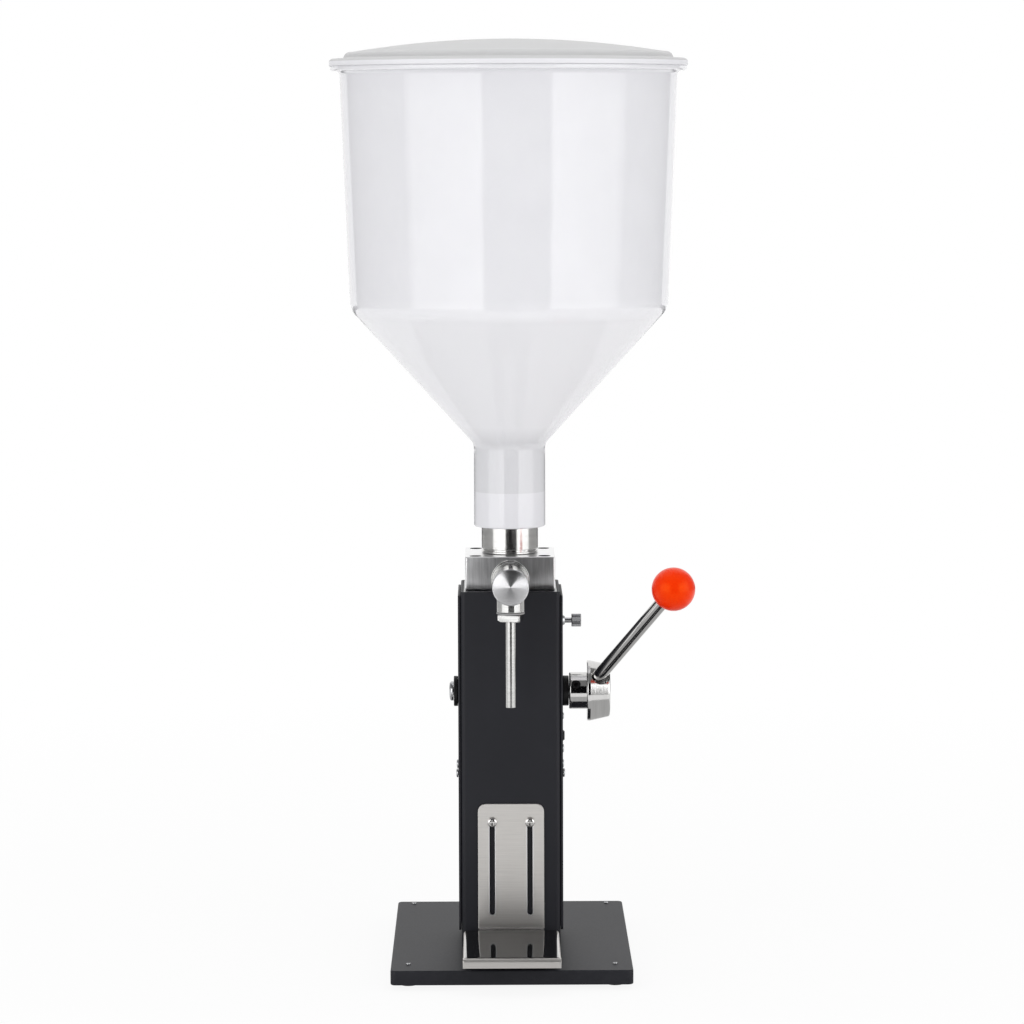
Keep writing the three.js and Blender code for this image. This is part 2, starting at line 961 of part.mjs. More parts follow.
// Shaft, its end screw and the pinion
const handle = groupAt(machine, 0, shaftY, shaftZ);
piece(
  handle,
  "drive_shaft",
  cut(
    disc(
      shaftDiameter,
      leftEnd,
      collarFace + hubBoreReach - seat,
      mediumSides,
      "x",
    ),
    disc(
      endScrewShank + 2 * seat,
      leftEnd - overrun,
      leftEnd + endScrewReach,
      smallSides,
      "x",
    ),
  ),
  polishedSteel,
);
const endScrew = groupAt(handle, leftEnd - seat, 0, 0);
endScrew.rotation.y = -Math.PI / 2;
piece(
  endScrew,
  "shaft_end_screw",
  domeScrew(
    endScrewHead,
    endScrewRise,
    endScrewShank,
    endScrewReach,
    mediumSides,
  ),
  zincSteel,
);
piece(
  handle,
  "pinion",
  cut(
    join(
      prism(pinionOutline(), -pinionWidth / 2, pinionWidth / 2, "x"),
      disc(
        pinionBoss,
        pinionWidth / 2 - overrun,
        pinionWidth / 2 + pinionBossLength,
        mediumSides,
        "x",
      ),
    ),
    disc(shaftDiameter + 2 * seat, -shellHalf, shellHalf, mediumSides, "x"),
  ),
  zincSteel,
);

// Lever: its direction, then the hub that it stands in, the rod and the ball
const leverWay = new THREE.Vector3(
  Math.sin(leverTilt),
  -Math.cos(leverTilt) * Math.cos(leverPitch),
  Math.cos(leverTilt) * Math.sin(leverPitch),
);
const up = new THREE.Vector3(0, 0, 1);
const lever = new THREE.Group();
lever.position.set(leverRoot, 0, 0);
lever.quaternion.setFromUnitVectors(up, leverWay);
lever.updateMatrix();
const setScrewWay = new THREE.Vector3(
  0,
  -Math.cos(setScrewPitch),
  Math.sin(setScrewPitch),
);
const setScrew = new THREE.Group();
setScrew.position.set(setScrewOffset, 0, 0);
setScrew.quaternion.setFromUnitVectors(up, setScrewWay);
setScrew.updateMatrix();

const hub = groupAt(handle, collarFace, 0, 0);
const hubEnd = collarLength + hubLength;
const hubRadius = hubDiameter / 2;
const collarRadius = collarDiameter / 2;
const hubBody = revolve(
  [
    [0, 0],
    [collarRadius - collarChamfer, 0],
    [collarRadius, collarChamfer],
    [collarRadius, collarLength],
    [hubRadius, collarLength],
    [hubRadius, collarLength + hubRim],
    [hubRadius - hubTaper, hubEnd - hubEdge],
    [hubRadius - hubTaper - hubEdge, hubEnd],
    [0, hubEnd],
  ],
  pumpSides,
  "x",
);
piece(
  hub,
  "handle_hub",
  cut(
    hubBody,
    disc(shaftDiameter + 2 * seat, -overrun, hubBoreReach, mediumSides, "x"),
    disc(
      leverDiameter + 2 * seat,
      leverSocket,
      leverLength,
      mediumSides,
    ).applyMatrix4(lever.matrix),
    disc(spotFace, spotDepth, leverLength, mediumSides).applyMatrix4(
      lever.matrix,
    ),
    disc(
      setScrewDiameter + 2 * seat,
      shaftDiameter / 4,
      collarDiameter,
      smallSides,
    ).applyMatrix4(setScrew.matrix),
  ),
  brushedSteel,
);
hub.add(lever);
hub.add(setScrew);
const ballRadius = ballDiameter / 2;
piece(
  lever,
  "lever_rod",
  disc(
    leverDiameter,
    leverSocket + seat,
    leverLength - ballRadius + ballSocket - seat,
    mediumSides,
  ),
  polishedSteel,
);
const ball = new THREE.SphereGeometry(
  ballRadius,
  mediumSides,
  ballBands,
).rotateX(Math.PI / 2);
piece(
  groupAt(lever, 0, 0, leverLength),
  "ball_knob",
  cut(
    ball,
    disc(
      leverDiameter + 2 * seat,
      -ballRadius - overrun,
      ballSocket - ballRadius,
      mediumSides,
    ),
  ),
  knobOrange,
);
const setScrewTop = collarRadius - setScrewSink;
piece(
  setScrew,
  "hub_set_screw",
  cut(
    disc(
      setScrewDiameter,
      setScrewTop - setScrewLength,
      setScrewTop,
      smallSides,
    ),
    hexagon(setScrewKey, setScrewTop - setScrewLength / 2, collarRadius),
  ),
  blackPlastic,
);

// Piston rod with its rack, the piston and its seal
const rodTop = pistonBottom + pistonSocket - seat;
const rackTop = shaftZ + toothPitch * rackTeethAbove;
piece(
  machine,
  "rack_rod",
  join(
    prism(
      rackOutline(spacerTop + seat),
      -rackWidth / 2,
      rackWidth / 2,
      "x",
    ),
    disc(rodDiameter, rackTop - overrun, rodTop, mediumSides),
  ),
  polishedSteel,
);
const pistonRadius = boreDiameter / 2 - seat;
const grooveRadius = pistonRadius - sealDepth;
const grooveHalf = sealHeight / 2 + seat;
const grooveMiddle = pistonRest - pistonHeight / 3;
const skirtRadius = pistonRadius - pistonSkirt;
piece(
  machine,
  "piston",
  cut(
    disc(pistonRadius * 2, pistonBottom, pistonRest, pumpSides),
    ring(
      boreDiameter + overrun,
      grooveRadius * 2,
      grooveMiddle - grooveHalf,
      grooveMiddle + grooveHalf,
      pumpSides,
    ),
    ring(
      skirtRadius * 2,
      pistonHub,
      pistonBottom - overrun,
      pistonBottom + pistonHeight / 3,
      pumpSides,
    ),
    disc(
      rodDiameter + 2 * seat,
      pistonBottom - overrun,
      pistonBottom + pistonSocket,
      mediumSides,
    ),
  ),
  whiteSeal,
);
piece(
  machine,
  "piston_seal",
  ring(
    boreDiameter - 2 * sealRunning,
    (grooveRadius + seat) * 2,
    grooveMiddle - sealHeight / 2,
    grooveMiddle + sealHeight / 2,
    pumpSides,
  ),
  rubber,
);

// Barrel, hung by its flange in the deck, and the gasket on it
const bore = boreDiameter / 2;
piece(
  machine,
  "barrel",
  revolve(
    [
      [bore, flangeTop - barrelLength],
      [barrelRadius, flangeTop - barrelLength],
      [barrelRadius, flangeBottom],
      [barrelFlange / 2, flangeBottom],
      [barrelFlange / 2, flangeTop],
      [bore, flangeTop],
    ],
    pumpSides,
  ),
  polishedSteel,
);
piece(
  machine,
  "barrel_gasket",
  ring(
    barrelFlange,
    boreDiameter,
    shellTop - gasketThickness,
    shellTop,
    pumpSides,
  ),
  whiteSeal,
);

// Pump head: a block with the inlet seat above the chamber and the outlet port in front
const corner = headChamfer;
const headHalf = headWidth / 2;
const headOutline = outline([
  [corner - headHalf, headFront + corner * 2],
  [corner * 2 - headHalf, headFront + corner],
  [headHalf - corner * 2, headFront + corner],
  [headHalf - corner, headFront + corner * 2],
  [headHalf - corner, -headFront - corner * 2],
  [headHalf - corner * 2, -headFront - corner],
  [corner * 2 - headHalf, -headFront - corner],
  [corner - headHalf, -headFront - corner * 2],
]);
const headBlock = new THREE.ExtrudeGeometry(headOutline, {
  depth: headHeight - 2 * corner,
  bevelSize: corner,
  bevelThickness: corner,
  bevelSegments: 1,
}).translate(0, 0, headBottom + corner);
const neckSpigotDiameter = neckPort + 2 * neckSpigotWall;
const boltFloor = headTop - boltHeadHeight - boltSink;
piece(
  machine,
  "pump_head",
  cut(
    headBlock,
    disc(
      chamberDiameter,
      headBottom - overrun,
      chamberTop,
      mediumSides,
    ),
    disc(inletSeat, headBottom, headTop, mediumSides),
    disc(
      neckSpigotDiameter + 2 * seat,
      recessFloor,
      headTop + overrun,
      mediumSides,
    ),
    disc(tubeSeat, headFront - overrun, 0, mediumSides, "y").translate(
      0,
      0,
      tubeZ,
    ),
    disc(
      tubeStubDiameter + 2 * seat,
      headFront - overrun,
      headFront + tubeStub + seat,
      mediumSides,
      "y",
    ).translate(0, 0, tubeZ),
    ...boltPlaces.flatMap(([x, y]) => [
      disc(
        boltDiameter + 2 * seat,
        headBottom - overrun,
        headTop,
        smallSides,
      ).translate(x, y, 0),
      disc(
        boltHead + 2 * seat,
        boltFloor - seat,
        headTop + overrun,
        mediumSides,
      ).translate(x, y, 0),
    ]),
  ),
  brushedSteel,
);
boltPlaces.forEach(([x, y], i) => {
  piece(
    groupAt(machine, x, y, boltFloor),
    "head_bolt_" + (i + 1),
    socketScrew(
      boltHead,
      boltHeadHeight,
      boltDiameter,
      boltFloor - shellTop + boltReach,
      boltKey,
    ),
    zincSteel,
  );
});

// Inlet neck that the hopper stands on
const neckRadius = neckDiameter / 2;
const neckBore = neckRadius - neckWall;
const neckBottom = headTop + seat;
const neckHeight = headTop + neckTop;
const neckGrooveTop = neckBottom + neckFoot + neckGrooveHeight;
piece(
  machine,
  "inlet_neck",
  revolve(
    [
      [neckPort / 2, neckBottom - neckSpigot],
      [neckSpigotDiameter / 2, neckBottom - neckSpigot],
      [neckSpigotDiameter / 2, neckBottom],
      [neckRadius, neckBottom],
      [neckRadius, neckBottom + neckFoot],
      [neckRadius - neckGroove, neckBottom + neckFoot],
      [neckRadius - neckGroove, neckGrooveTop],
      [neckRadius, neckGrooveTop],
      [neckRadius, neckHeight - neckGroove],
      [neckRadius - neckGroove, neckHeight],
      [neckBore, neckHeight],
      [neckBore, neckBottom + neckFoot],
      [neckPort / 2, neckBottom],
    ],
    pumpSides,
  ),
  brushedSteel,
);

// Inlet valve that opens downward, the cage below it and its spring
const poppetTop = chamberTop - seat;
const poppetBottom = poppetTop - inletDiscThickness;
piece(
  machine,
  "inlet_valve",
  revolve(
    [
      [0, poppetBottom - inletStemLength],
      [valveStem / 2, poppetBottom - inletStemLength],
      [valveStem / 2, poppetBottom],
      [inletDisc / 2, poppetBottom],
      [inletDisc / 2, poppetTop],
      [inletNose / 2, poppetTop],
      [inletNoseTip / 2, poppetTop + inletNoseHeight],
      [0, poppetTop + inletNoseHeight],
    ],
    mediumSides,
  ),
  polishedSteel,
);
const cageBottom = cageTop - cageThickness;
const cageOuter = chamberDiameter / 2 - seat;
const spokes = Array.from({ length: cageSpokes }, (_, k) =>
  box(
    0,
    cageOuter - cageRing / 2,
    -cageSpoke / 2,
    cageSpoke / 2,
    cageBottom,
    cageTop,
  ).rotateZ((Math.PI * 2 * k) / cageSpokes),
);
piece(
  machine,
  "valve_cage",
  cut(
    join(
      ring(
        cageOuter * 2,
        (cageOuter - cageRing) * 2,
        cageBottom,
        cageTop,
        mediumSides,
      ),
      disc(cageHub, cageBottom, cageTop, mediumSides),
      ...spokes,
    ),
    disc(valveStem + 2 * seat, headBottom, headTop, mediumSides),
  ),
  polishedSteel,
);
piece(
  machine,
  "inlet_spring",
  spring(cageTop, poppetBottom, inletTurns),
  polishedSteel,
);

// Discharge tube with its flange, the valve seat and the spout, drawn toward +Z and turned forward
const discharge = groupAt(machine, 0, headFront, tubeZ);
const forward = groupAt(discharge, 0, 0, 0);
forward.rotation.x = Math.PI / 2;
const flangeEnd = tubeStart + tubeFlangeThickness;
const seatPlace = tubeStart + tubeSeatDepth;
const spout = (diameter, low) =>
  disc(diameter, low, 0, mediumSides, "y").translate(0, 0, spoutPlace);
piece(
  forward,
  "discharge_tube",
  cut(
    join(
      disc(tubeStubDiameter, -tubeStub, flangeEnd, mediumSides),
      disc(tubeFlange, tubeStart, flangeEnd, mediumSides),
      disc(
        tubeFlangeStep,
        flangeEnd - overrun,
        flangeEnd + tubeFlangeStepLength,
        mediumSides,
      ),
      disc(tubeDiameter, tubeStart, tubeEnd, mediumSides),
      spout(spoutDiameter, -spoutDrop),
    ),
    disc(tubeSeat, -tubeStub - overrun, seatPlace + overrun, mediumSides),
    disc(tubeBore, seatPlace, tubeEnd + overrun, mediumSides),
    spout(spoutBore, -spoutDrop - overrun),
  ),
  brushedSteel,
);

// Outlet valve that opens forward, its spring, and the end cap with the spring's stop
const outletBack = seatPlace + seat;
const outletFront = outletBack + outletDiscThickness;
piece(
  forward,
  "outlet_valve",
  revolve(
    [
      [0, outletBack - outletNoseLength],
      [outletNoseTip / 2, outletBack - outletNoseLength],
      [outletNose / 2, outletBack],
      [outletDisc / 2, outletBack],
      [outletDisc / 2, outletFront],
      [valveStem / 2, outletFront],
      [valveStem / 2, outletFront + outletStemLength],
      [0, outletFront + outletStemLength],
    ],
    mediumSides,
  ),
  polishedSteel,
);
const stopPlace = outletFront + capSpringGap;
piece(
  forward,
  "outlet_spring",
  spring(outletFront, stopPlace, outletTurns),
  polishedSteel,
);
const capBack = tubeEnd + seat;
const capRadius = capDiameter / 2;
const capSpigotRadius = tubeBore / 2 - seat;
piece(
  forward,
  "end_cap",
  revolve(
    [
      [0, stopPlace],
      [capCollar / 2, stopPlace],
      [capCollar / 2, stopPlace + capCollarThickness],
      [capStem / 2, stopPlace + capCollarThickness],
      [capStem / 2, capBack - capSpigot],
      [capSpigotRadius, capBack - capSpigot],
      [capSpigotRadius, capBack],
      [capRadius, capBack],
      [capRadius, capFace - capChamfer],
      [capRadius - capChamfer, capFace],
      [0, capFace],
    ],
    pumpSides,
  ),
  brushedSteel,
);

// Nozzle: washer, square adapter and tube, below the spout
const nozzle = groupAt(discharge, 0, -spoutPlace, 0);
piece(
  nozzle,
  "spout_washer",
  ring(
    washerDiameter,
    spoutBore,
    washerTop - washerThickness,
    washerTop,
    mediumSides,
  ),
  whiteSeal,
);
const adapterBottom = adapterTop - adapterHeight;
const adapterHalf = adapterAcross / 2;
const socketDiameter = nozzleDiameter + 2 * seat;
const adapterCorner = adapterHalf * Math.SQRT2;
const adapter = groupAt(nozzle, 0, 0, 0);
adapter.rotation.z = adapterTurn;
piece(
  adapter,
  "nozzle_adapter",
  cut(
    join(
      common(
        box(
          -adapterHalf,
          adapterHalf,
          -adapterHalf,
          adapterHalf,
          adapterBottom,
          adapterTop,
        ),
        revolve(
          [
            [0, adapterBottom],
            [adapterCorner - adapterChamfer, adapterBottom],
            [adapterCorner, adapterBottom + adapterChamfer],
            [adapterCorner, adapterTop],
            [0, adapterTop],
          ],
          mediumSides,
        ),
      ),
      disc(
        spoutBore - 2 * seat,
        adapterTop - overrun,
        adapterTop + adapterStub,
        mediumSides,
      ),
    ),
    disc(
      adapterBore,
      adapterBottom - overrun,
      adapterTop + adapterStub + overrun,
      smallSides,
    ),
    disc(
      socketDiameter,
      adapterBottom - overrun,
      adapterBottom + nozzleSocket + seat,
      mediumSides,
    ),
  ),
  polishedSteel,
);
const nozzleTop = adapterBottom + nozzleSocket;
piece(
  nozzle,
  "nozzle_tube",
  ring(
    nozzleDiameter,
    nozzleDiameter - 2 * nozzleWall,
    nozzleTop - nozzleLength,
    nozzleTop,
    mediumSides,
  ),
  polishedSteel,
);

// Hopper: one wall of even thickness, and a socket at the foot that stands on the neck
const spigotRadius = spigotDiameter / 2;
const middle = hopperWall / 2;
const hopperFoot = headTop + spigotFoot;
const rimRadius = rimDiameter / 2;
const hopperWallOutline = strip(
  [
    [spigotRadius - middle, hopperFoot],
    [spigotRadius - middle, headTop + spigotTop],
    [shoulderDiameter / 2 - middle, headTop + coneTop],
    [rimRadius - middle, headTop + rimHeight],
    [rimRadius + rimReach, headTop + rimHeight],
  ],
  hopperWall,
  [coneFillet, shoulderFillet, rimFillet],
  wallSteps,
);
const hopperStand = neckHeight + seat;
const socketRadius = neckRadius + seat;
piece(
  machine,
  "hopper",
  join(
    revolve(hopperWallOutline, largeSides),
    revolve(
      [
        [socketRadius, hopperFoot],
        [spigotRadius - middle, hopperFoot],
        [spigotRadius - middle, hopperStand + socketLip],
        [socketRadius - socketShoulder, hopperStand + socketLip],
        [socketRadius - socketShoulder, hopperStand],
        [socketRadius, hopperStand],
      ],
      largeSides,
    ),
  ),
  milkyPlastic,
);

// Lid: a bead that lies on the hopper's rim, a shallow dome and a ring inside the wall
const lidRadius = rimRadius + rimReach + lidOverhang;
const lidBottom = headTop + rimHeight + middle + seat;
const beadTop = lidBottom + lidBeadHeight;
const roofSkin = lidWall / 2;
const roofRadius = lidRoof / 2;
const beadInside = lidRadius - lidBeadWidth;
const roofStep = roofRadius - lidWall;
const roofEdge = beadTop - roofSkin + lidShoulder;
const roofTop = beadTop + lidRise - roofSkin;
const crownShare = 0.1;
const roofShares = [0.72, 0.42]; // of the roof's radius, where its skin turns
const roof = strip(
  [
    [beadInside + lidWall, beadTop - roofSkin],
    [roofRadius, beadTop - roofSkin],
    [roofStep, roofEdge],
    ...roofShares.map((share) => [
      roofStep * share,
      roofTop - (roofTop - roofEdge) * share ** 2,
    ]),
    [roofStep * crownShare, roofTop],
    [0, roofTop],
  ],
  lidWall,
  [lidWall, lidShoulderFillet, ...roofShares.map(() => roofRadius), roofRadius],
  roofSteps,
);
const beadHighShares = [
  [0, 1],
  [0.13, 0.5],
  [0.5, 0.13],
  [1, 0],
]; // of the bead's round edge, from its rim to its top
const beadHigh = beadHighShares.map(([u, v]) => [
  lidRadius - lidBeadRound * u,
  beadTop - lidBeadRound * v,
]);
const plugOuter = rimRadius - hopperWall - lidPlugGap;
piece(
  machine,
  "lid",
  join(
    revolve(roof, largeSides),
    revolve(
      [
        [beadInside, lidBottom],
        [lidRadius - lidBeadEase, lidBottom],
        ...beadHigh,
        [beadInside, beadTop],
      ],
      largeSides,
    ),
    ring(
      plugOuter * 2,
      (plugOuter - lidPlugWall) * 2,
      lidBottom - lidPlugDepth,
      beadTop - roofSkin + lidShoulder * lidPlugTopShare,
      largeSides,
    ),
  ),
  milkyPlastic,
);

// Bottle tray: one folded sheet with two slots, a shelf and lips turned down on three sides
const sheetMiddle = traySheet / 2;
const bend = trayBend + sheetMiddle;
const shelfMiddle = trayShelfTop - sheetMiddle;
const plateMiddle = trayFace + sheetMiddle;
const lipBottom = trayShelfTop - trayLip;
const neckFront = trayFace - trayNeck;
const trayHalf = trayShelfWidth / 2;
const upright = prism(
  outline(
    strip(
      [
        [plateMiddle, baseTop + trayPlateTop],
        [plateMiddle, shelfMiddle],
        [neckFront - bend, shelfMiddle],
      ],
      traySheet,
      [bend],
    ),
  ),
  -trayPlateWidth / 2,
  trayPlateWidth / 2,
  "x",
);
const uprightFace = prism(
  rounded(
    -trayPlateWidth / 2,
    lipBottom,
    trayPlateWidth / 2,
    baseTop + trayPlateTop,
    traySheet,
    trayPlateCorner,
  ),
  trayFront,
  shellFront,
  "y",
);
const shelf = prism(
  outline(
    strip(
      [
        [sheetMiddle - trayHalf, lipBottom],
        [sheetMiddle - trayHalf, shelfMiddle],
        [trayHalf - sheetMiddle, shelfMiddle],
        [trayHalf - sheetMiddle, lipBottom],
      ],
      traySheet,
      [bend, bend],
    ),
  ),
  trayFront + trayNotch,
  neckFront,
  "y",
);
const frontLip = prism(
  outline(
    strip(
      [
        [trayFront + trayNotch + sheetMiddle, shelfMiddle],
        [trayFront + sheetMiddle, shelfMiddle],
        [trayFront + sheetMiddle, lipBottom],
      ],
      traySheet,
      [bend],
    ),
  ),
  -trayHalf,
  trayHalf,
  "x",
);
const slot = (x) =>
  prism(
    rounded(
      x - slotWidth / 2,
      baseTop + slotLow - slotWidth / 2,
      x + slotWidth / 2,
      trayScrewZ + slotWidth / 2,
      slotWidth / 2,
    ),
    trayFace - overrun,
    shellFront + overrun,
    "y",
  );
piece(
  machine,
  "tray_bracket",
  cut(
    join(common(upright, uprightFace), shelf, frontLip),
    ...Object.values(trayScrews).map(slot),
  ),
  polishedSteel,
);
for (const [name, x] of Object.entries(trayScrews)) {
  const place = groupAt(machine, x, trayFace - seat, trayScrewZ);
  place.rotation.x = Math.PI / 2;
  piece(
    place,
    "tray_screw_" + name,
    domeScrew(trayScrewHead, trayScrewRise, trayScrewDiameter, trayScrewReach),
    zincSteel,
  );
}

// Thumb screw that holds the barrel, with its fluted head, and the insert it runs in
const thumb = groupAt(machine, 0, ...thumbPlace);
const headStart = plateOutside + thumbStandoff;
const thumbRadius = thumbHead / 2;
const knurl = [];
for (let k = 0; k < thumbFlutes * 2; k++) {
  const angle = (Math.PI * k) / thumbFlutes;
  const r = thumbRadius - (k % 2) * thumbFlute;
  knurl.push([r * Math.cos(angle), r * Math.sin(angle)]);
}
piece(
  thumb,
  "thumb_screw",
  join(
    prism(outline(knurl), headStart, headStart + thumbHeadLength, "x"),
    disc(
      thumbDiameter,
      barrelRadius + seat,
      headStart + overrun,
      smallSides,
      "x",
    ),
  ),
  zincSteel,
);
const insertBase = plateOutside + seat;
const insertBore = thumbDiameter / 2 + seat;
piece(
  thumb,
  "thumb_insert",
  revolve(
    [
      [insertBore, innerHalf - insertReach],
      [insertBody / 2, innerHalf - insertReach],
      [insertBody / 2, insertBase],
      [insertFlange / 2, insertBase],
      [insertTip / 2, insertBase + insertRise],
      [insertBore, insertBase + insertRise],
    ],
    smallSides,
    "x",
  ),
  zincSteel,
);

// The frame's origin lies on the table below the middle of the whole machine
const root = new THREE.Group();
machine.position.y = -(trayFront + lidRadius) / 2;
root.add(machine);
export default root;
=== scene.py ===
# %% [markdown]
# # A manual filling machine, piece by piece
#
# The solids of the machine come packed from CAD, with their joints. Here they are dressed for
# the picture: coarse round pieces are made again on fine grids, and each one gets a finish.
# Lengths are in millimetres about the pump's upright axis, as on a maker's drawing. Only the
# last step before a mesh turns them into metres in the frame of model.glb.

import bpy
import numpy as np
from mathutils import Matrix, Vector
from mathutils.geometry import delaunay_2d_cdt


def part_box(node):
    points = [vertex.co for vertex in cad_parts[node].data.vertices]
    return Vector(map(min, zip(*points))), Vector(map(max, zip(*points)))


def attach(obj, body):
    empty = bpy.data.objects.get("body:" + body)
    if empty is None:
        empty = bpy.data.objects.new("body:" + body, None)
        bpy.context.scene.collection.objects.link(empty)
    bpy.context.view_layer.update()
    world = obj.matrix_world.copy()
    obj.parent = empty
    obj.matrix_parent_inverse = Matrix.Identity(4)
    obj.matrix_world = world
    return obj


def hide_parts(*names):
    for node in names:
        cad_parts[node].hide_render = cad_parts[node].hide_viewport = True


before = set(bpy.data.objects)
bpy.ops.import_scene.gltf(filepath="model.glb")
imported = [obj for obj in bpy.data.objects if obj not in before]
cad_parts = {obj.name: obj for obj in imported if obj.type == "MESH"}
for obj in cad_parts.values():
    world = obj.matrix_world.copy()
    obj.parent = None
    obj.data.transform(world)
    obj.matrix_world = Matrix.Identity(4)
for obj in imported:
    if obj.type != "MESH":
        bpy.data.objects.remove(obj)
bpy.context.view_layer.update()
MM = 0.001
neck_low, neck_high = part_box("inlet_neck")
pump_y = (neck_low.y + neck_high.y) / 2
print("pump axis lies", round(pump_y / MM, 2), "mm behind the frame's origin")


# %% [markdown]
# ## Lines with round corners
#
# A lathe or a press never leaves a corner perfectly sharp, and it is the small radius that
# catches the light. So each outline starts as a few corner points with a radius each. Beside
# every arc sits one more point on the straight part: it keeps the shading of the flat flat.


# %% Corner points to a smooth line
def rounded(points, radii, closed=False, steps=5, hold=0.3):
    """An arc leads round each corner. It starts one tangent length before the corner, which is
    the radius times the tangent of half the turn, and its centre lies one radius to the inside.
    It takes less than half of the shorter side, so that two arcs never meet."""
    at = np.asarray(points, float)
    radius = np.broadcast_to(np.asarray(radii, float), len(at)).copy()
    before, after = at - np.roll(at, 1, 0), np.roll(at, -1, 0) - at
    if not closed:
        radius[[0, -1]] = 0
        before[0], after[-1] = after[0], before[-1]
    shorter = np.minimum(np.hypot(*before.T), np.hypot(*after.T))
    a, b = (way / np.hypot(*way.T)[:, None] for way in (before, after))
    turn = np.arctan2(a[:, 0] * b[:, 1] - a[:, 1] * b[:, 0], (a * b).sum(1))
    half = np.maximum(np.tan(np.abs(turn) / 2), 1e-9)
    reach = np.minimum(radius * half, 0.48 * shorter)
    bend = reach / half * np.sign(turn)
    left = np.stack([-a[:, 1], a[:, 0]], 1)
    centre = at - a * reach[:, None] + left * bend[:, None]
    angle = turn[:, None] * np.linspace(0, 1, steps + 1)
    c, s = np.cos(angle), np.sin(angle)
    spoke = np.stack([left[:, :1] * c - left[:, 1:] * s, left[:, :1] * s + left[:, 1:] * c], -1)
    arc = centre[:, None] - bend[:, None, None] * spoke
    gap = np.minimum(hold, 0.25 * (shorter - reach))[:, None] * (reach > 0)[:, None]
    line = np.concatenate([(arc[:, 0] - a * gap)[:, None], arc, (arc[:, -1] + b * gap)[:, None]], 1)
    line = line.reshape(-1, 2)
    apart = np.hypot(*(line - np.roll(line, 1, 0)).T) > 1e-4
    apart[0] |= not closed
    return line[apart]


def pressed(points, radii, thickness):
    """Both faces of a bent wall: each corner moves out by half the wall over the cosine of half
    its turn, along the mean of the two normals, and its radius grows or shrinks by half the wall."""
    at = np.asarray(points, float)
    way = np.diff(at, axis=0)
    way /= np.hypot(*way.T)[:, None]
    left = np.stack([-way[:, 1], way[:, 0]], 1)
    first, last = np.vstack([left[:1], left]), np.vstack([left, left[-1:]])
    mean = (first + last) / (1 + (first * last).sum(1))[:, None]
    turn = np.sign(first[:, 0] * last[:, 1] - first[:, 1] * last[:, 0])
    radius, least = np.concatenate([[0], radii, [0]]), 0.2
    return [
        (at + mean * side * thickness / 2, np.maximum(radius - side * turn * thickness / 2, least))
        for side in (1, -1)
    ]


print("a rounded square has", len(rounded([(0, 0), (9, 0), (9, 9), (0, 9)], 1, closed=True)), "points")

# %% [markdown]
# ## Surfaces as grids of rings
#
# Almost every piece here was turned, drawn or extruded, so its surface is a grid: one number
# runs round the piece and the other along its outline. `skin` joins such rings, and closes both
# ends with a fan of triangles, or joins the last ring to the first where the piece is a pipe.


# %% Rings to a closed surface
def skin(rings, loop=False, poles=None):
    """Ring i and ring i+1 are joined point by point, each ring closed round on itself."""
    n, m = rings.shape[:2]
    at = np.arange(n * m).reshape(n, m)
    low, high = (at, np.roll(at, -1, 0)) if loop else (at[:-1], at[1:])
    faces = np.stack([low, np.roll(low, -1, 1), np.roll(high, -1, 1), high], -1).reshape(-1, 4).tolist()
    points = rings.reshape(-1, 3)
    if not loop:
        ends = rings[[0, -1]].mean(1) if poles is None else np.asarray(poles, float)
        start, stop = np.full(m, n * m), np.full(m, n * m + 1)
        faces += np.stack([start, np.roll(at[0], -1), at[0]], -1).tolist()
        faces += np.stack([stop, at[-1], np.roll(at[-1], -1)], -1).tolist()
        points = np.vstack([points, ends])
    return outward(points, faces)


def outward(points, faces):
    """A closed surface's volume is a sum of corner products over its faces, and is negative
    where the faces look inwards; then each face is written the other way round."""
    corner = np.array([(f[0], f[i], f[i + 1]) for f in faces for i in range(1, len(f) - 1)])
    a, b, c = (points[corner[:, i]] for i in range(3))
    volume = np.einsum("ij,ij->", a - points.mean(0), np.cross(b - a, c - a)) / 6
    return points, (faces if volume > 0 else [f[::-1] for f in faces])


AXES = {
    "z": np.eye(3),
    "x": np.array([[0, 0, 1], [1, 0, 0], [0, 1, 0]]),
    "-x": np.array([[0, 0, -1], [1, 0, 0], [0, -1, 0]]),
    "-y": np.array([[1, 0, 0], [0, 0, -1], [0, 1, 0]]),
}


def moved(shape, axis="z", at=(0, 0, 0)):
    """Turns a shape that was drawn along +Z to another axis, and carries it to its place."""
    turn = AXES[axis] if isinstance(axis, str) else np.asarray(axis)
    return outward(shape[0] @ turn.T + np.asarray(at, float), shape[1])


def turned(profile, sides=96, loop=False, axis="z", at=(0, 0, 0)):
    """Lathe work: the profile's radius and height at each point, with the radius carried round
    a full circle. A radius of zero is a pole."""
    line = np.asarray(profile, float)
    poles = [(0, 0, line[0, 1]), (0, 0, line[-1, 1])]
    line = line[line[:, 0] > 1e-6]
    angle = np.linspace(0, 2 * np.pi, sides, endpoint=False)
    radius, height = line[:, :1], np.broadcast_to(line[:, 1:], (len(line), sides))
    rings = np.stack([radius * np.cos(angle), radius * np.sin(angle), height], -1)
    return moved(skin(rings, loop, None if loop else poles), axis, at)


print("a plain disc has", len(turned([(0, 0), (5, 0), (5, 2), (0, 2)])[0]), "points")

# %% [markdown]
# ## Flat pieces with an eased edge
#
# Plates are cut from sheet and tumbled, which eases every edge. The rim is again a grid: one
# number runs along the outline, the other down the eased edge. Only the two flat faces, with
# their holes, are triangles, laid between the innermost lines.


# %% Outlines and plates
def rectangle(u0, v0, u1, v1, radii, steps=6):
    """The four corners between two opposite ones, against the clock, with round corners."""
    corners = [(u0, v0), (u1, v0), (u1, v1), (u0, v1)]
    return rounded(corners, radii, closed=True, steps=steps, hold=0)


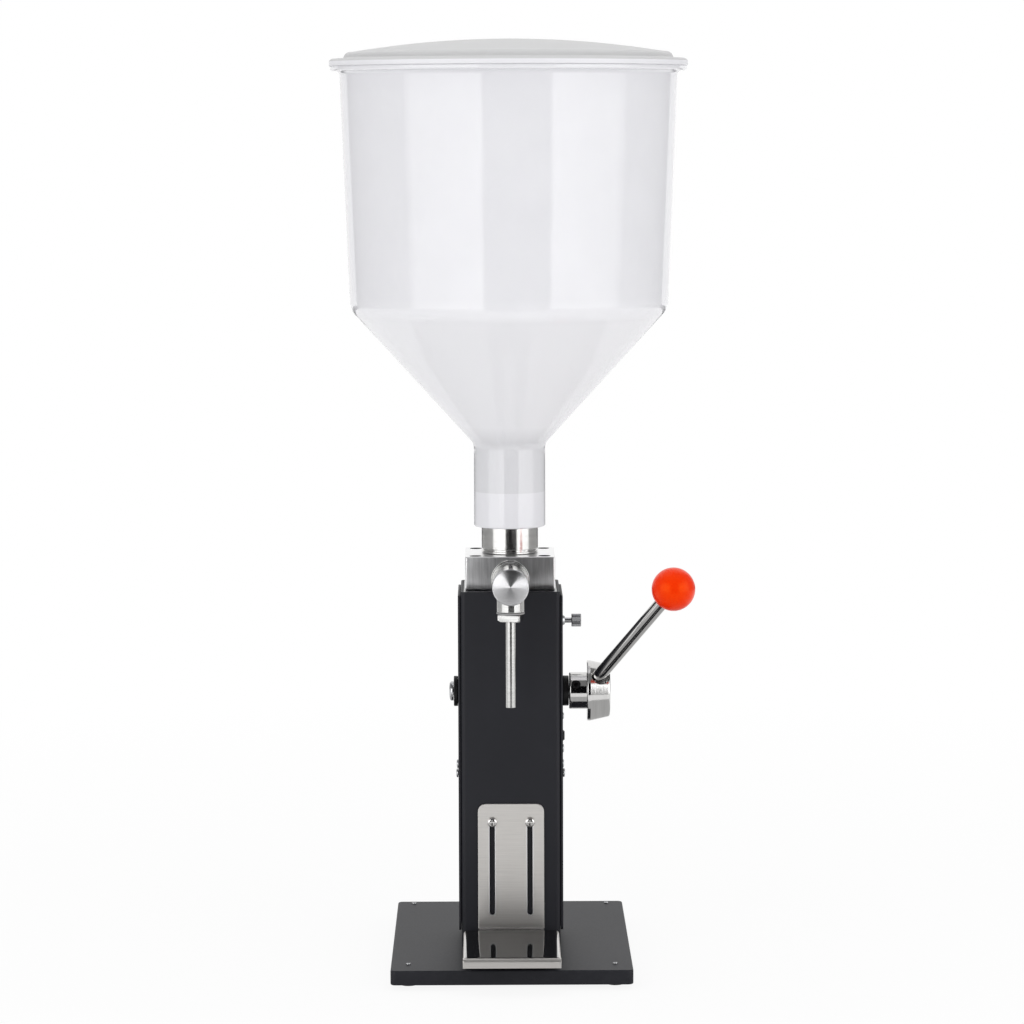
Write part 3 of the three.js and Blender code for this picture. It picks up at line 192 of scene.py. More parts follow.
def circle(u, v, diameter, sides=48):
    """Middle plus half the diameter times cosine and sine. A hole runs the other way round than
    an outer line, so that its normals point into the sheet."""
    angle = -np.linspace(0, 2 * np.pi, sides, endpoint=False)
    return np.stack([u + diameter / 2 * np.cos(angle), v + diameter / 2 * np.sin(angle)], -1)


def inset(line, depth):
    """Each point moves into the material by depth, along the mean normal of its two edges."""
    way = np.roll(line, -1, 0) - line
    way /= np.hypot(*way.T)[:, None]
    left = np.stack([-way[:, 1], way[:, 0]], 1)
    other = np.roll(left, 1, 0)
    mean = (left + other) / (1 + (left * other).sum(1))[:, None]
    return line + mean * depth


def eased(thickness, edge, steps=3, hold=0.3):
    """Depth and height down an edge: a quarter circle at the top and one at the bottom."""
    t = np.linspace(0, np.pi / 2, steps + 1)
    depth, height = edge * (1 - np.sin(t)), edge * (1 - np.cos(t))
    low = np.stack([depth, height], -1)
    high = np.stack([depth[::-1], thickness - height[::-1]], -1)
    flat = [(edge + hold, 0)], [(edge + hold, thickness)]
    return np.vstack([flat[0], low, high, flat[1]])


def plate(loops, thickness, edge, bends=(), steps=3):
    """A sheet between height 0 and its thickness. Bends are pairs of point numbers of the first
    line that a fold has to run between, so that the flat faces can be folded afterwards."""
    profile = eased(thickness, edge, steps)
    points, faces, start, flat, border = [], [], 0, [], []
    for line in loops:
        rim = np.stack([np.column_stack([inset(line, d), np.full(len(line), h)]) for d, h in profile])
        n, m = rim.shape[:2]
        at = start + np.arange(n * m).reshape(n, m)
        low, high = at[:-1], at[1:]
        faces += np.stack([low, np.roll(low, -1, 1), np.roll(high, -1, 1), high], -1).reshape(-1, 4).tolist()
        k = len(flat)
        flat += [(int(i), int(j)) for i, j in zip(at[0], at[-1])]
        border += [(k + i, k + (i + 1) % m) for i in range(m)]
        points.append(rim.reshape(-1, 3))
        start += n * m
    points = np.vstack(points)
    low, high = np.array(flat).T
    face = points[low][:, :2]
    found = delaunay_2d_cdt([tuple(p) for p in face], border + list(bends), [], 0, 1e-6)
    corners = np.array(found[2])
    middle = np.asarray([tuple(p) for p in found[0]])[corners].mean(1)
    kept = corners[inside(middle, [inset(line, profile[0, 0]) for line in loops])]
    faces += low[kept[:, ::-1]].tolist() + high[kept].tolist()
    return outward(points, faces)


def inside(at, loops):
    """A point is in the sheet where a ray from it crosses the lines an odd number of times."""
    odd = np.zeros(len(at), int)
    for line in loops:
        p, q = line, np.roll(line, -1, 0)
        above = (p[:, 1] > at[:, 1:]) != (q[:, 1] > at[:, 1:])
        rise = np.where(q[:, 1] == p[:, 1], 1, q[:, 1] - p[:, 1])
        cross = p[:, 0] + (at[:, 1:] - p[:, 1]) * (q[:, 0] - p[:, 0]) / rise
        odd += (above & (at[:, :1] < cross)).sum(1)
    return odd % 2 == 1


print("a plate with a hole has", len(plate([rectangle(0, 0, 9, 9, 1), circle(4, 4, 3)], 2, 0.2)[1]), "faces")

# %% [markdown]
# ## From numbers to Blender
#
# `make` puts a shape into a mesh, in metres, and tells the frame what the piece stands for:
# the body that it rides on and the CAD nodes that it replaces. Where two round forms meet at an
# angle, a boolean finds their common edge, as a mill would cut it.


# %% Meshes and booleans
def mesh_of(name, shape):
    """Millimetres about the pump's axis become metres in the frame."""
    mesh = bpy.data.meshes.new(name)
    mesh.from_pydata((shape[0] * MM + (0, pump_y, 0)).tolist(), [], [list(f) for f in shape[1]])
    mesh.shade_smooth()
    return mesh


def make(name, shape, material, body, slot, *nodes, crease=38):
    """One finished piece: smooth, but sharp where two faces meet at more than the crease."""
    mesh = mesh_of(name, shape)
    mesh.set_sharp_from_angle(angle=np.radians(crease))
    mesh.materials.append(material)
    piece = bpy.data.objects.new(name, mesh)
    bpy.context.scene.collection.objects.link(piece)
    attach(piece, body)
    if nodes:
        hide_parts(*nodes)
    print(f"{name}: {len(mesh.polygons)} faces")
    return piece


def carved(base, *steps):
    """Joins or cuts the base with one shape after another, and gives points and faces back."""
    scratch = []
    for shape in [base] + [tool for _, tool in steps]:
        scratch.append(bpy.data.objects.new("scratch", mesh_of("scratch", shape)))
        bpy.context.scene.collection.objects.link(scratch[-1])
    for (operation, _), tool in zip(steps, scratch[1:]):
        change = scratch[0].modifiers.new(operation, "BOOLEAN")
        change.operation, change.object, change.solver = operation, tool, "EXACT"
    bpy.context.view_layer.update()
    made = scratch[0].evaluated_get(bpy.context.evaluated_depsgraph_get()).to_mesh()
    points = np.empty(len(made.vertices) * 3)
    made.vertices.foreach_get("co", points)
    faces = [tuple(p.vertices) for p in made.polygons]
    for thing in scratch:
        data = thing.data
        bpy.data.objects.remove(thing)
        bpy.data.meshes.remove(data)
    return (points.reshape(-1, 3) - (0, pump_y, 0)) / MM, faces


# %% [markdown]
# ## Shader maths in plain Python
#
# A finish is mostly sums: a colour plus a little grain, a roughness minus the wear on an edge.
# `Value` wraps a node's output so that such a sum can be written as one, and `Finish.node`
# makes any other node. Patterns read object coordinates, so they stay put on the moving pieces.


# %% Wrapped sockets
class Value:
    """A shader socket. Each operator adds the Math node of its name."""

    def __init__(self, finish, socket):
        self.finish, self.socket = finish, socket

    def maths(self, operation, *values, clamp=False):
        return self.finish.node("Math", {"operation": operation, "use_clamp": clamp}, dict(enumerate(values)))

    def __add__(self, other):
        return self.maths("ADD", self, other)

    def __sub__(self, other):
        return self.maths("SUBTRACT", self, other)

    def __rsub__(self, other):
        return self.maths("SUBTRACT", other, self)

    def __mul__(self, other):
        return self.maths("MULTIPLY", self, other)

    def __abs__(self):
        return self.maths("ABSOLUTE", self)

    __radd__, __rmul__ = __add__, __mul__

    def most(self, other):
        """The larger of two values."""
        return self.maths("MAXIMUM", self, other)

    def over(self, start, end):
        """0 below start, 1 above end, and even in between."""
        return self.maths("MULTIPLY_ADD", self, 1 / (end - start), -start / (end - start), clamp=True)


class Finish:
    """A material under construction, with one principled surface."""

    def __init__(self, name, **constants):
        self.material = bpy.data.materials.new(name)
        self.material.use_nodes = True
        self.tree = self.material.node_tree
        self.surface = self.tree.nodes["Principled BSDF"]
        for socket, value in constants.items():
            self.surface.inputs[socket.replace("_", " ")].default_value = value

    def feed(self, socket, value):
        if isinstance(value, Value):
            self.tree.links.new(value.socket, socket)
        else:
            socket.default_value = value

    def node(self, kind, settings=None, inputs=None, output=0):
        """Any node: its type, then its settings, then the numbers or links of its sockets."""
        made = self.tree.nodes.new("ShaderNode" + kind)
        for key, value in (settings or {}).items():
            setattr(made, key, value)
        for key, value in (inputs or {}).items():
            self.feed(made.inputs[key], value)
        return Value(self, made.outputs[output])

    def axes(self):
        """The three object coordinates one by one, in metres."""
        at = self.node("TexCoord", output="Object")
        return [self.node("SeparateXYZ", None, {"Vector": at}, output=n) for n in range(3)]

    def noise(self, length, detail=2.0, rough=0.5):
        """Noise whose unit is so many millimetres long: one number, or one for each axis."""
        at = self.node("TexCoord", output="Object")
        scale = tuple(1 / (MM * part) for part in np.broadcast_to(length, 3))
        at = self.node("Mapping", None, {"Vector": at, "Scale": scale})
        return self.node("TexNoise", None, {"Vector": at, "Scale": 1.0, "Detail": detail, "Roughness": rough})

    def blend(self, share, first, second):
        """The first colour where the share is 0, and the second where it is 1."""
        inputs = {"Factor": share, 6: first, 7: second}
        return self.node("Mix", {"data_type": "RGBA"}, inputs, output=2)

    def wear(self):
        """The share of wear, from how sharply the surface turns outwards."""
        return self.node("NewGeometry", output="Pointiness").over(0.52, 0.62)

    def paint(self, colour, roughness, height, depth, strength):
        """Feeds the surface: its colour, its roughness, and a bump that is so many millimetres deep."""
        bump = {"Height": height, "Distance": depth * MM, "Strength": strength}
        self.feed(self.surface.inputs["Base Color"], colour)
        self.feed(self.surface.inputs["Roughness"], roughness)
        self.feed(self.surface.inputs["Normal"], self.node("Bump", None, bump))
        return self.material


def rgb(r, g, b, share=1.0):
    """A colour, or a share of it, with the alpha that Blender's sockets want."""
    return (r * share, g * share, b * share, 1.0)


def neutral(level):
    """A grey."""
    return rgb(level, level, level)


# %% [markdown]
# ## The finishes
#
# The column and the base wear a black powder coat: satin, with the faint orange peel of melted
# powder, a hint of blue, and outer edges that handling has polished, painted lighter, partly as a
# painted highlight. Plastics get a slow change of colour instead. The hopper's milky plastic also
# lets light in, and it comes back softened; painted shade darkens the hopper's spigot above its
# floor and the lid's top, and painted light whitens the hopper's cone.


# %% Coated and plastic finishes
MIDDLE = (0.3, 0.7)  # noise seldom leaves this range, so it is stretched to run from 0 to 1


def powder_coat(name, roughness, shine):
    """Peel is a soft unevenness, grit a finer one, and outer edges are worn by hands: there the
    colour is painted lighter, wear and a painted highlight both.
    """
    f = Finish(name, Metallic=0.0, Specular_IOR_Level=shine)
    peel, grit, cloud = f.noise(1.1, 3), f.noise(0.35), f.noise(60)
    edge_wear_and_highlight = f.wear() * f.noise(5, 4).over(0.42, 0.62)
    tone = f.blend(cloud.over(*MIDDLE), rgb(0.0128, 0.0133, 0.0175), rgb(0.0158, 0.0163, 0.021))
    # painted highlight and wear: the outer edges are painted lighter
    worn = f.blend(edge_wear_and_highlight * 0.5, tone, rgb(0.045, 0.047, 0.054))
    return f.paint(worn, roughness + 0.1 * peel - 0.1 * edge_wear_and_highlight, peel + 0.35 * grit, 0.05, 0.5)


def moulded(name, colour, other, roughness, grain, **constants):
    """Moulded plastic: a slow change between two colours, and a fine texture."""
    f = Finish(name, Metallic=0.0, **constants)
    texture, cloud = f.noise(grain, 3), f.noise(25)
    shade = f.blend(cloud.over(*MIDDLE), rgb(*colour), rgb(*other))
    return f.paint(shade, roughness + 0.1 * (texture - 0.5), texture, 0.03, 0.35)


def milky_plastic(name, shade_heights, fade, other, gloss=0.04):
    """Moulded polypropylene: light sinks in and comes back milky. Between two heights, in
    millimetres, the wall takes the other colour, a painted shade, which fades out above them: on
    the hopper the spigot above its floor, on the lid its top. The cone under the body is painted a
    little whiter, a painted light for the light that comes up through it."""
    f = Finish(name, Metallic=0.0, IOR=1.49, Subsurface_Weight=0.35, Subsurface_Scale=6 * MM)
    f.surface.inputs["Subsurface Radius"].default_value = (1.0, 0.95, 1.0)
    height = f.axes()[2]
    wave, cloud = f.noise((90, 90, 130)), f.noise(35, 3)
    low, high = shade_heights
    # painted shade: between the two heights the colour turns to the other, darker one
    painted_shade = height.over((low - 0.2) * MM, low * MM) * (1 - height.over(high * MM, (high + fade) * MM))
    # painted light: the cone under the body is painted whiter
    cone = height.over(385 * MM, 400 * MM) * (1 - height.over(490 * MM, 510 * MM))
    shade = f.blend(cloud.over(*MIDDLE), rgb(0.78, 0.777, 0.81), rgb(0.80, 0.797, 0.83))
    shade = f.blend(painted_shade, f.blend(cone, shade, rgb(0.86, 0.857, 0.89)), rgb(*other))
    return f.paint(shade, gloss + 0.04 * cloud, wave + 0.02 * cloud, 1.2, 0.5)


coat = powder_coat("black_powder_coat", 0.44, 0.25)
deck_coat = powder_coat("black_powder_coat_deck", 0.12, 1.0)
soot, soot_light = (0.004, 0.004, 0.005), (0.006, 0.006, 0.007)
nylon = moulded("black_nylon", soot, soot_light, 0.42, 0.5, Specular_IOR_Level=0.3)
rubber = moulded("black_rubber", (0.014, 0.014, 0.014), (0.02, 0.02, 0.019), 0.8, 0.3)
grey_washer = moulded("grey_washer", (0.30, 0.30, 0.30), (0.34, 0.34, 0.34), 0.5, 0.4)
white_polymer = moulded("white_polymer", (0.80, 0.80, 0.78), (0.76, 0.76, 0.73), 0.45, 0.6)
warm_shine = {"Specular_IOR_Level": 0.5, "Specular_Tint": rgb(1.0, 0.5, 0.06)}
orange_light, orange_deep = (0.87, 0.029, 0.0008), (0.84, 0.026, 0.0008)
orange = moulded("orange_knob_plastic", orange_light, orange_deep, 0.28, 0.8, **warm_shine)
# near-black bolts: a black-oxide finish, and so dark also as painted shade for the wells that they sit in
oxide_and_shade, oxide_and_shade_light = (0.004, 0.004, 0.004), (0.007, 0.007, 0.007)
bolt_black_and_shade = moulded("black_oxide_steel_and_shade", oxide_and_shade, oxide_and_shade_light, 0.5, 0.4, Specular_IOR_Level=0.08)
print(len(bpy.data.materials), "finishes so far")

# %% [markdown]
# Brushed steel gets long fine scratches along the way it was ground. Turned steel has rings
# instead, from the feed of the lathe tool. Both blur a mirror image across their lines and leave
# it sharp along them, so the noise is stretched along the lines and drives the bump.


# %% Steel finishes for round and small pieces
def brushed_steel(name, colour, length, roughness=0.28, depth=0.02, contrast=0.16):
    """Ground along one way: noise that is long on that axis and fine across it, in two sizes."""
    f = Finish(name, Metallic=1.0)
    lines, finer = f.noise(length, 4, 0.7), f.noise([part / 3 for part in length], 2)
    scratch = 0.6 * lines + 0.4 * finer
    shade = f.blend(scratch.over(*MIDDLE), rgb(*colour, 1 - contrast), rgb(*colour))
    smudge = f.noise(22, 3).over(0.35, 0.75)
    return f.paint(shade, roughness + 0.16 * (scratch - 0.5) + 0.05 * smudge, scratch, depth, 0.6)


def turned_steel(name, colour, axis, roughness, depth=0.012, contrast=0.1):
    """Turned round: fine lines that follow each other along the piece's axis, and broader bands
    that vary the shine. On an upright piece each highlight is also drawn out along the axis."""
    upright = axis == "Z"
    f = Finish(name, Metallic=1.0, Anisotropic=0.9 if upright else 0.0, Anisotropic_Rotation=0.25)
    line, band = ([step if letter == axis else 30 for letter in "XYZ"] for step in (0.14, 1.5))
    line, broad = f.noise(line, 2, 0.6), f.noise(band)
    shade = f.blend(broad.over(*MIDDLE), rgb(*colour, 1 - contrast), rgb(*colour))
    return f.paint(shade, roughness + 0.08 * (broad - 0.5), line, depth, 0.6)


hub_turned = turned_steel("turned_stainless_hub", (0.70, 0.695, 0.685), "X", 0.1, 0.03)
neck_polished = turned_steel("turned_stainless_neck", (0.64, 0.635, 0.625), "Z", 0.15, 0.03)
spout_polished = turned_steel("turned_stainless_spout", (0.60, 0.60, 0.59), "Z", 0.14)
face_turned = turned_steel("turned_stainless_cap", (0.58, 0.58, 0.59), "Y", 0.24)
chrome = brushed_steel("chromed_rod", (0.66, 0.65, 0.64), (30, 30, 30), 0.06, 0.0, 0.04)
inner_steel = brushed_steel("drawn_stainless", (0.55, 0.56, 0.58), (4, 4, 0.8), 0.22)
zinc = brushed_steel("bright_zinc_plate", (0.56, 0.565, 0.58), (0.8, 0.8, 0.8), 0.16, 0.01, 0.2)

# %% [markdown]
# The pump block and the tray are large enough to show where they were worked, and they also carry
# painted light and shade: a painted highlight on the block's polished edges and round the tray's
# slots, painted shade in the bolt wells and on the shelf's top. A painted mask would need an
# unwrapped mesh, so a mask is worked out from the object coordinates instead: of the block's edges
# and bolt wells, of the tray's shelf and slots. Their measures come first, because the finish and
# the shape share them.

# %% Steel finishes for the block and the tray
HEAD_LOW, HEAD_TOP, HEAD_HALF = 287.3, 312.3, 34
BOLT_X, BOLT_Y, WELL = 26, 25.5, 5.0
SHELF_TOP = 29.4
SLOT_X, SLOT_LOW, SLOT_HIGH, SLOT_WIDTH = 14.3, 42.4, 111.7, 4.5


def scratches(f, lines, broad):
    """Scratches in two sizes, each a noise that is long along the scratch."""
    return 0.6 * f.noise(lines, 4, 0.7) + 0.4 * f.noise(broad, 3, 0.6)


def milled_block(name, colour):
    """Faces brushed upright, and an eased edge that the wheel has polished: within 0.9 mm of the
    ends of the block's width or height the roughness and the scratches fade away, and the colour
    is raised to a near white, a painted highlight. The four wells for the bolts, round their own
    middles, are painted near black inside, a painted shade."""
    f = Finish(name, Metallic=1.0)
    x, y, z = f.axes()
    rim = abs(x).over((HEAD_HALF - 0.9) * MM, (HEAD_HALF - 0.5) * MM)
    rim = rim.most(1 - z.over((HEAD_LOW + 0.5) * MM, (HEAD_LOW + 0.9) * MM))
    rim = rim.most(z.over((HEAD_TOP - 0.9) * MM, (HEAD_TOP - 0.5) * MM))
    scratch = scratches(f, (0.35, 0.35, 14), (1.6, 1.6, 30))
    shade = f.blend(scratch.over(*MIDDLE), rgb(*colour, 0.6), rgb(*colour))
    # painted highlight: the polished rim is painted near white
    shade = f.blend(rim, shade, neutral(0.92))
    # painted shade: the bolt wells are painted near black inside, round their own middles
    beside, behind = abs(x) - BOLT_X * MM, abs(y - pump_y) - BOLT_Y * MM
    well = 1 - (beside * beside + behind * behind).over(((WELL + 0.05) * MM) ** 2, ((WELL + 0.15) * MM) ** 2)
    well = well * (1 - z.over((HEAD_TOP - 0.12) * MM, (HEAD_TOP - 0.08) * MM))
    shade = f.blend(well, shade, neutral(0.01))
    roughness = 0.33 - 0.05 * rim + 0.2 * (scratch - 0.5) * (1 - rim)
    return f.paint(shade, roughness, scratch * (1 - rim), 0.06, 0.6)


def folded_sheet_steel(name, colour):
    """Sheet that is brushed crosswise and matt, but for the shelf's top, which a bottle's foot
    has kept as bright as a mirror: there the scratches and the roughness fade away, and the colour
    is painted dark, a painted shade. Round each slot a line half a millimetre wide is painted
    brighter, a painted highlight, by its distance from the slot's middle line."""
    f = Finish(name, Metallic=1.0)
    x, _, z = f.axes()
    beside = abs(x) - SLOT_X * MM
    past = (z - SLOT_HIGH * MM).most(SLOT_LOW * MM - z).most(0.0)
    near, far = (SLOT_WIDTH / 2 + 0.35) * MM, (SLOT_WIDTH / 2 + 0.55) * MM
    # painted highlight: a line round each slot is painted brighter
    rim = 1 - (beside * beside + past * past).over(near**2, far**2)
    # the shelf's top: smooth, and painted dark, a painted shade
    mirror = z.over((SHELF_TOP - 0.5) * MM, (SHELF_TOP - 0.1) * MM)
    mirror = mirror * (1 - z.over((SHELF_TOP + 0.2) * MM, (SHELF_TOP + 1.2) * MM))
    scratch = scratches(f, (18, 0.3, 0.3), (40, 1.2, 1.2))
    shade = f.blend(scratch.over(*MIDDLE), rgb(*colour, 0.88), rgb(*colour))
    shade = f.blend(mirror, f.blend(rim, shade, neutral(1.0)), rgb(0.24, 0.237, 0.24))
    roughness = 0.33 - 0.26 * mirror + 0.1 * (scratch - 0.5) * (1 - mirror)
    return f.paint(shade, roughness, scratch * (1 - mirror), 0.03, 0.5)


front_brushed = milled_block("brushed_stainless_block", (0.70, 0.70, 0.71))
tray_brushed = folded_sheet_steel("brushed_stainless_tray", (0.84, 0.815, 0.785))
print(len(bpy.data.materials), "finishes in all but the milky ones")

# %% [markdown]
# ## Base plate and feet
#
# The base is one thick steel plate with round corners. A milled plate would have a sharp rim,
# but powder builds up on it, so its edge is eased by about a millimetre. A cube with a bevel
# would do for it alone, but `plate` also makes the side plates, the block and the tray.

# %% Base plate, feet and their screws
BASE_LOW, BASE_TOP = 4.0, 15.0
base_outline = rectangle(-90, -125, 90, 125, 4)
base_plate = plate([base_outline], BASE_TOP - BASE_LOW, 1.0, steps=4)
make("base_slab", moved(base_plate, at=(0, 0, BASE_LOW)), coat, "frame", "black_powder_coat", "base_plate")


def pan_head(head, rise, shank, reach, key, depth, sides=48):
    """A screw along +Z with its head's underside at height 0. The head's top is a grid of rings:
    its height is a flat dome, the root of one minus the cube of the distance from the middle,
    less a cross that is sunk where either of two bars covers the point."""
    r = head / 2
    shaft = [(0, -reach), (shank / 2, -reach), (shank / 2, 0), (r, 0), (r, rise * 0.5)]
    shaft = rounded(shaft, [0, 0.4, 0.1, 0.15, 0], steps=3, hold=0.1)
    distance = np.linspace(1, 0.04, 22)[1:]
    angle = np.linspace(0, 2 * np.pi, sides, endpoint=False)
    x, y = r * distance[:, None] * np.cos(angle), r * distance[:, None] * np.sin(angle)
    dome = rise * (0.5 + 0.5 * np.sqrt(1 - distance**3))[:, None]
    width, soft = key * 0.34, 0.1
    along, across = np.abs(x), np.abs(y)
    upright = np.clip((width - along) / soft, 0, 1) * np.clip((key - across) / (2 * soft), 0, 1)
    level = np.clip((width - across) / soft, 0, 1) * np.clip((key - along) / (2 * soft), 0, 1)
    slope = 1 - 0.35 * np.maximum(along, across) / key
    top = np.stack([x, y, dome - depth * np.maximum(upright, level) * slope], -1)
    radius, height = shaft[1:, :1], np.broadcast_to(shaft[1:, 1:], (len(shaft) - 1, sides))
    low = np.stack([radius * np.cos(angle), radius * np.sin(angle), height], -1)
    return skin(np.concatenate([low, top]), poles=[(0, 0, -reach), (0, 0, rise - depth)])


FOOT_X, FOOT_Y = {"left": -77, "right": 77}, {"front": -103, "back": 115.5}
foot_line = [(1.8, 1.7), (1.8, 0.6), (6.9, 0), (7.5, 3.7), (1.8, 3.7)]
foot_line = rounded(foot_line, [0.1, 0.4, 0.7, 0.4, 0.2], closed=True)
for end, side in [(end, side) for end in FOOT_Y for side in FOOT_X]:
    x, y, corner = FOOT_X[side], FOOT_Y[end], f"{end}_{side}"
    foot = turned(foot_line, 48, loop=True, at=(x, y, 0))
    make(f"rubber_foot_{corner}", foot, rubber, "frame", "black_rubber", f"foot_{corner}")
    screw = moved(pan_head(3.6, 0.9, 3, 13.0, 1.0, 0.5, 32), at=(x, y, BASE_TOP + 0.2))
    make(f"base_screw_{corner}", screw, zinc, "frame", "zinc_steel", f"foot_screw_{corner}")

# %% [markdown]
# ## The column
#
# The column is a sheet-metal tube, folded round four corners, with a plate screwed to each
# side. Seen from the front its bends are two bright upright lines, so the bend radius matters
# more than anything else on it. The side plates have holes for the bushes and the screws. The
# tube is one outline that is carried round the section of its wall, set inwards by the depth,
# so the four bends and both cut ends come out round in one grid.

# %% Folded tube and side plates
SHAFT_Y, SHAFT_Z, THUMB_Z, PLUG_Y, PLUG_Z = -22.0, 208.5, 259.6, 13.3, 168.2
# The wall's section: depth into the wall and height.
wall = rounded([(0, 15.3), (0, 287), (2, 287), (2, 15.3)], 0.45, closed=True, steps=3)
outline = rectangle(-37.5, -45.5, 37.5, 33, 3.5, steps=8)
tube = np.stack([np.column_stack([inset(outline, d), np.full(len(outline), z)]) for d, z in wall])
make("folded_column", skin(tube, loop=True), coat, "frame", "black_powder_coat", "housing_shell")

SIDE_INNER, SIDE_OUTER, SIDE_SHEET = 37.8, 39.6, 1.8
SIDE_SEAT = 39.9  # where heads and flanges lie, with a gap for the coat
# Each screw: which side it is on, how far back and how high, and the width of its head.
SIDE_SCREWS = {
    "left_front": (-1, -26.75, 146.2, 6.8), "left_back": (-1, 14.25, 146.2, 6.8),
    "right_front": (1, -26.75, 146.2, 6.8), "right_back": (1, 14.25, 146.2, 6.8),
    "right_upper": (1, 13.3, 183.6, 5.3), "right_lower": (1, 13.3, 158.3, 6.8),
}
side_outline = rectangle(-43, 27.5, 30.5, 284, 3)
for name, sign in (("left", -1), ("right", 1)):
    holes = [circle(y, z, 4.6) for s, y, z, _ in SIDE_SCREWS.values() if s == sign]
    holes += [circle(SHAFT_Y, SHAFT_Z, 18.6)]
    if sign > 0:
        holes += [circle(0, THUMB_Z, 7.2), circle(PLUG_Y, PLUG_Z, 6.6)]
    points, faces = plate([side_outline, *holes], SIDE_SHEET, 0.4)
    points = points[:, [2, 0, 1]] + (SIDE_INNER if sign > 0 else -SIDE_OUTER, 0, 0)
    side = outward(points, faces)
    make(f"side_sheet_{name}", side, coat, "frame", "black_powder_coat", f"side_plate_{name}")

for name, (sign, y, z, head) in SIDE_SCREWS.items():
    screw = pan_head(head, 1.6, 4 if head > 6 else 3, 10, head * 0.27, 0.8)
    screw = moved(screw, "x" if sign > 0 else "-x", (sign * SIDE_SEAT, y, z))
    make(f"column_screw_{name}", screw, zinc, "frame", "zinc_steel", f"side_screw_{name}")
plug = [(0, -4.4), (3, -4.4), (3, 0), (4.35, 0), (4.35, 0.5), (3.3, 2), (0, 2)]
plug = rounded(plug, [0, 0.3, 0.1, 0.2, 0.2, 0.5, 0])
plug = turned(plug, 48, axis="x", at=(SIDE_SEAT, PLUG_Y, PLUG_Z))
make("blind_plug", plug, nylon, "frame", "black_nylon", "side_plug")

# %% [markdown]
# ## Shaft bushes, hub and lever
#
# The lever stands in a hub that was turned from one bar: a narrow collar that is locked to the
# shaft by a set screw, then a thin rim and a taper. The lever's hole is milled at an angle, and
# a wider pocket is spot-faced round it. A turned body cut by slanted cylinders gives just that
# edge, so the hub is a boolean and not a grid.

# %% Bushes and end screw
bush = [(6.3, -7.4), (9, -7.4), (9, 0), (11.5, 0), (11.5, 4.4), (6.3, 4.4)]
for name, axis, x, flange in (("right", "x", SIDE_SEAT, 4.4), ("left", "-x", -SIDE_SEAT, 3.1)):
    line = [(radius, min(height, flange)) for radius, height in bush]
    line = rounded(line, [0.3, 0.4, 0.1, 0.6, 0.6, 0.3], closed=True)
    shape = turned(line, 64, True, axis, (x, SHAFT_Y, SHAFT_Z))
    make(f"flanged_bush_{name}", shape, nylon, "frame", "black_nylon", f"bush_{name}")
end_screw = moved(pan_head(14.8, 3.3, 6, 14, 3.4, 1.6, 64), "-x", (-43.3, SHAFT_Y, SHAFT_Z))
make("shaft_cap_screw", end_screw, zinc, "handle", "zinc_steel", "shaft_end_screw")


# %% Hub
def facing(way, across):
    """The turn that carries +Z to a way: across, the way's cross product with it, and the way."""
    return np.column_stack([across, np.cross(way, across), way])


def bar(radius, low, high, turn, root, sides=64, edge=0.3):
    """A round bar between two distances from its root."""
    line = rounded([(0, low), (radius, low), (radius, high), (0, high)], [0, edge, edge, 0], steps=3)
    return turned(line, sides, axis=turn, at=root)


COLLAR, LEVER_REACH = 44.6, 147
hub_root, screw_root = (COLLAR, SHAFT_Y, SHAFT_Z), (COLLAR + 5.1, SHAFT_Y, SHAFT_Z)
pitch, tilt, screw_pitch = np.radians([42, 24, 28])
lever_way = np.array([np.sin(tilt), -np.cos(tilt) * np.cos(pitch), np.cos(tilt) * np.sin(pitch)])
ball_middle = np.add(hub_root, (14.8, 0, 0)) + lever_way * LEVER_REACH
lever_root = np.add(hub_root, (12.5, 0, -1))
lever_length = np.linalg.norm(ball_middle - lever_root)
lever_way = (ball_middle - lever_root) / lever_length
across = np.cross((0, 0, 1.0), lever_way)
lever_turn = facing(lever_way, across / np.linalg.norm(across))
screw_turn = facing(np.array([0, -np.cos(screw_pitch), np.sin(screw_pitch)]), (1, 0, 0))
hub_line = [(0, 0), (14, 0), (14, 13.6), (23, 13.6), (23, 16.0), (19.7, 31), (0, 31)]
hub_line = rounded(hub_line, [0, 1.2, 0.3, 0.7, 0.9, 1.6, 0])
hub = carved(
    turned(hub_line, 128, axis="x", at=hub_root),
    ("DIFFERENCE", bar(6.3, -1, 24, AXES["x"], hub_root)),
    ("DIFFERENCE", bar(5.35, -0.5, 60, lever_turn, lever_root)),
    ("DIFFERENCE", bar(7.2, 16.5, 60, lever_turn, lever_root + (1.2, 0, 0), edge=0.8)),
    ("DIFFERENCE", bar(3.5, 3, 20, screw_turn, screw_root, 48, edge=0.1)),
)
make("lever_hub", hub, hub_turned, "handle", "brushed_stainless", "handle_hub")


# %% Set screw, rod and ball
def socket_head(radius, top, bottom, key, depth, sides=48):
    """A cylinder with a hexagon sunk in its top, as a grid: the sunk rings follow the hexagon,
    whose distance from the middle is half its width over the cosine of the angle off a flat."""
    angle = np.linspace(0, 2 * np.pi, sides, endpoint=False)
    off = (angle + np.pi / 6) % (np.pi / 3) - np.pi / 6
    hexagon = key / 2 / np.cos(off)
    body = [(0, bottom), (radius, bottom), (radius, top), (radius * 0.8, top)]
    rings = [(np.full(sides, r), h) for r, h in rounded(body, [0, 0.2, 0.4, 0], steps=3)[1:]]
    rings += [(hexagon + 0.3, top), (hexagon + 0.1, top - 0.03), (hexagon, top - 0.2)]
    rings += [(hexagon, top - depth), (hexagon * 0.9, top - depth)]
    c, s = np.cos(angle), np.sin(angle)
    grid = np.stack([np.column_stack([r * c, r * s, np.full(sides, h)]) for r, h in rings])
    return skin(grid, poles=[(0, 0, bottom), (0, 0, top - depth)])


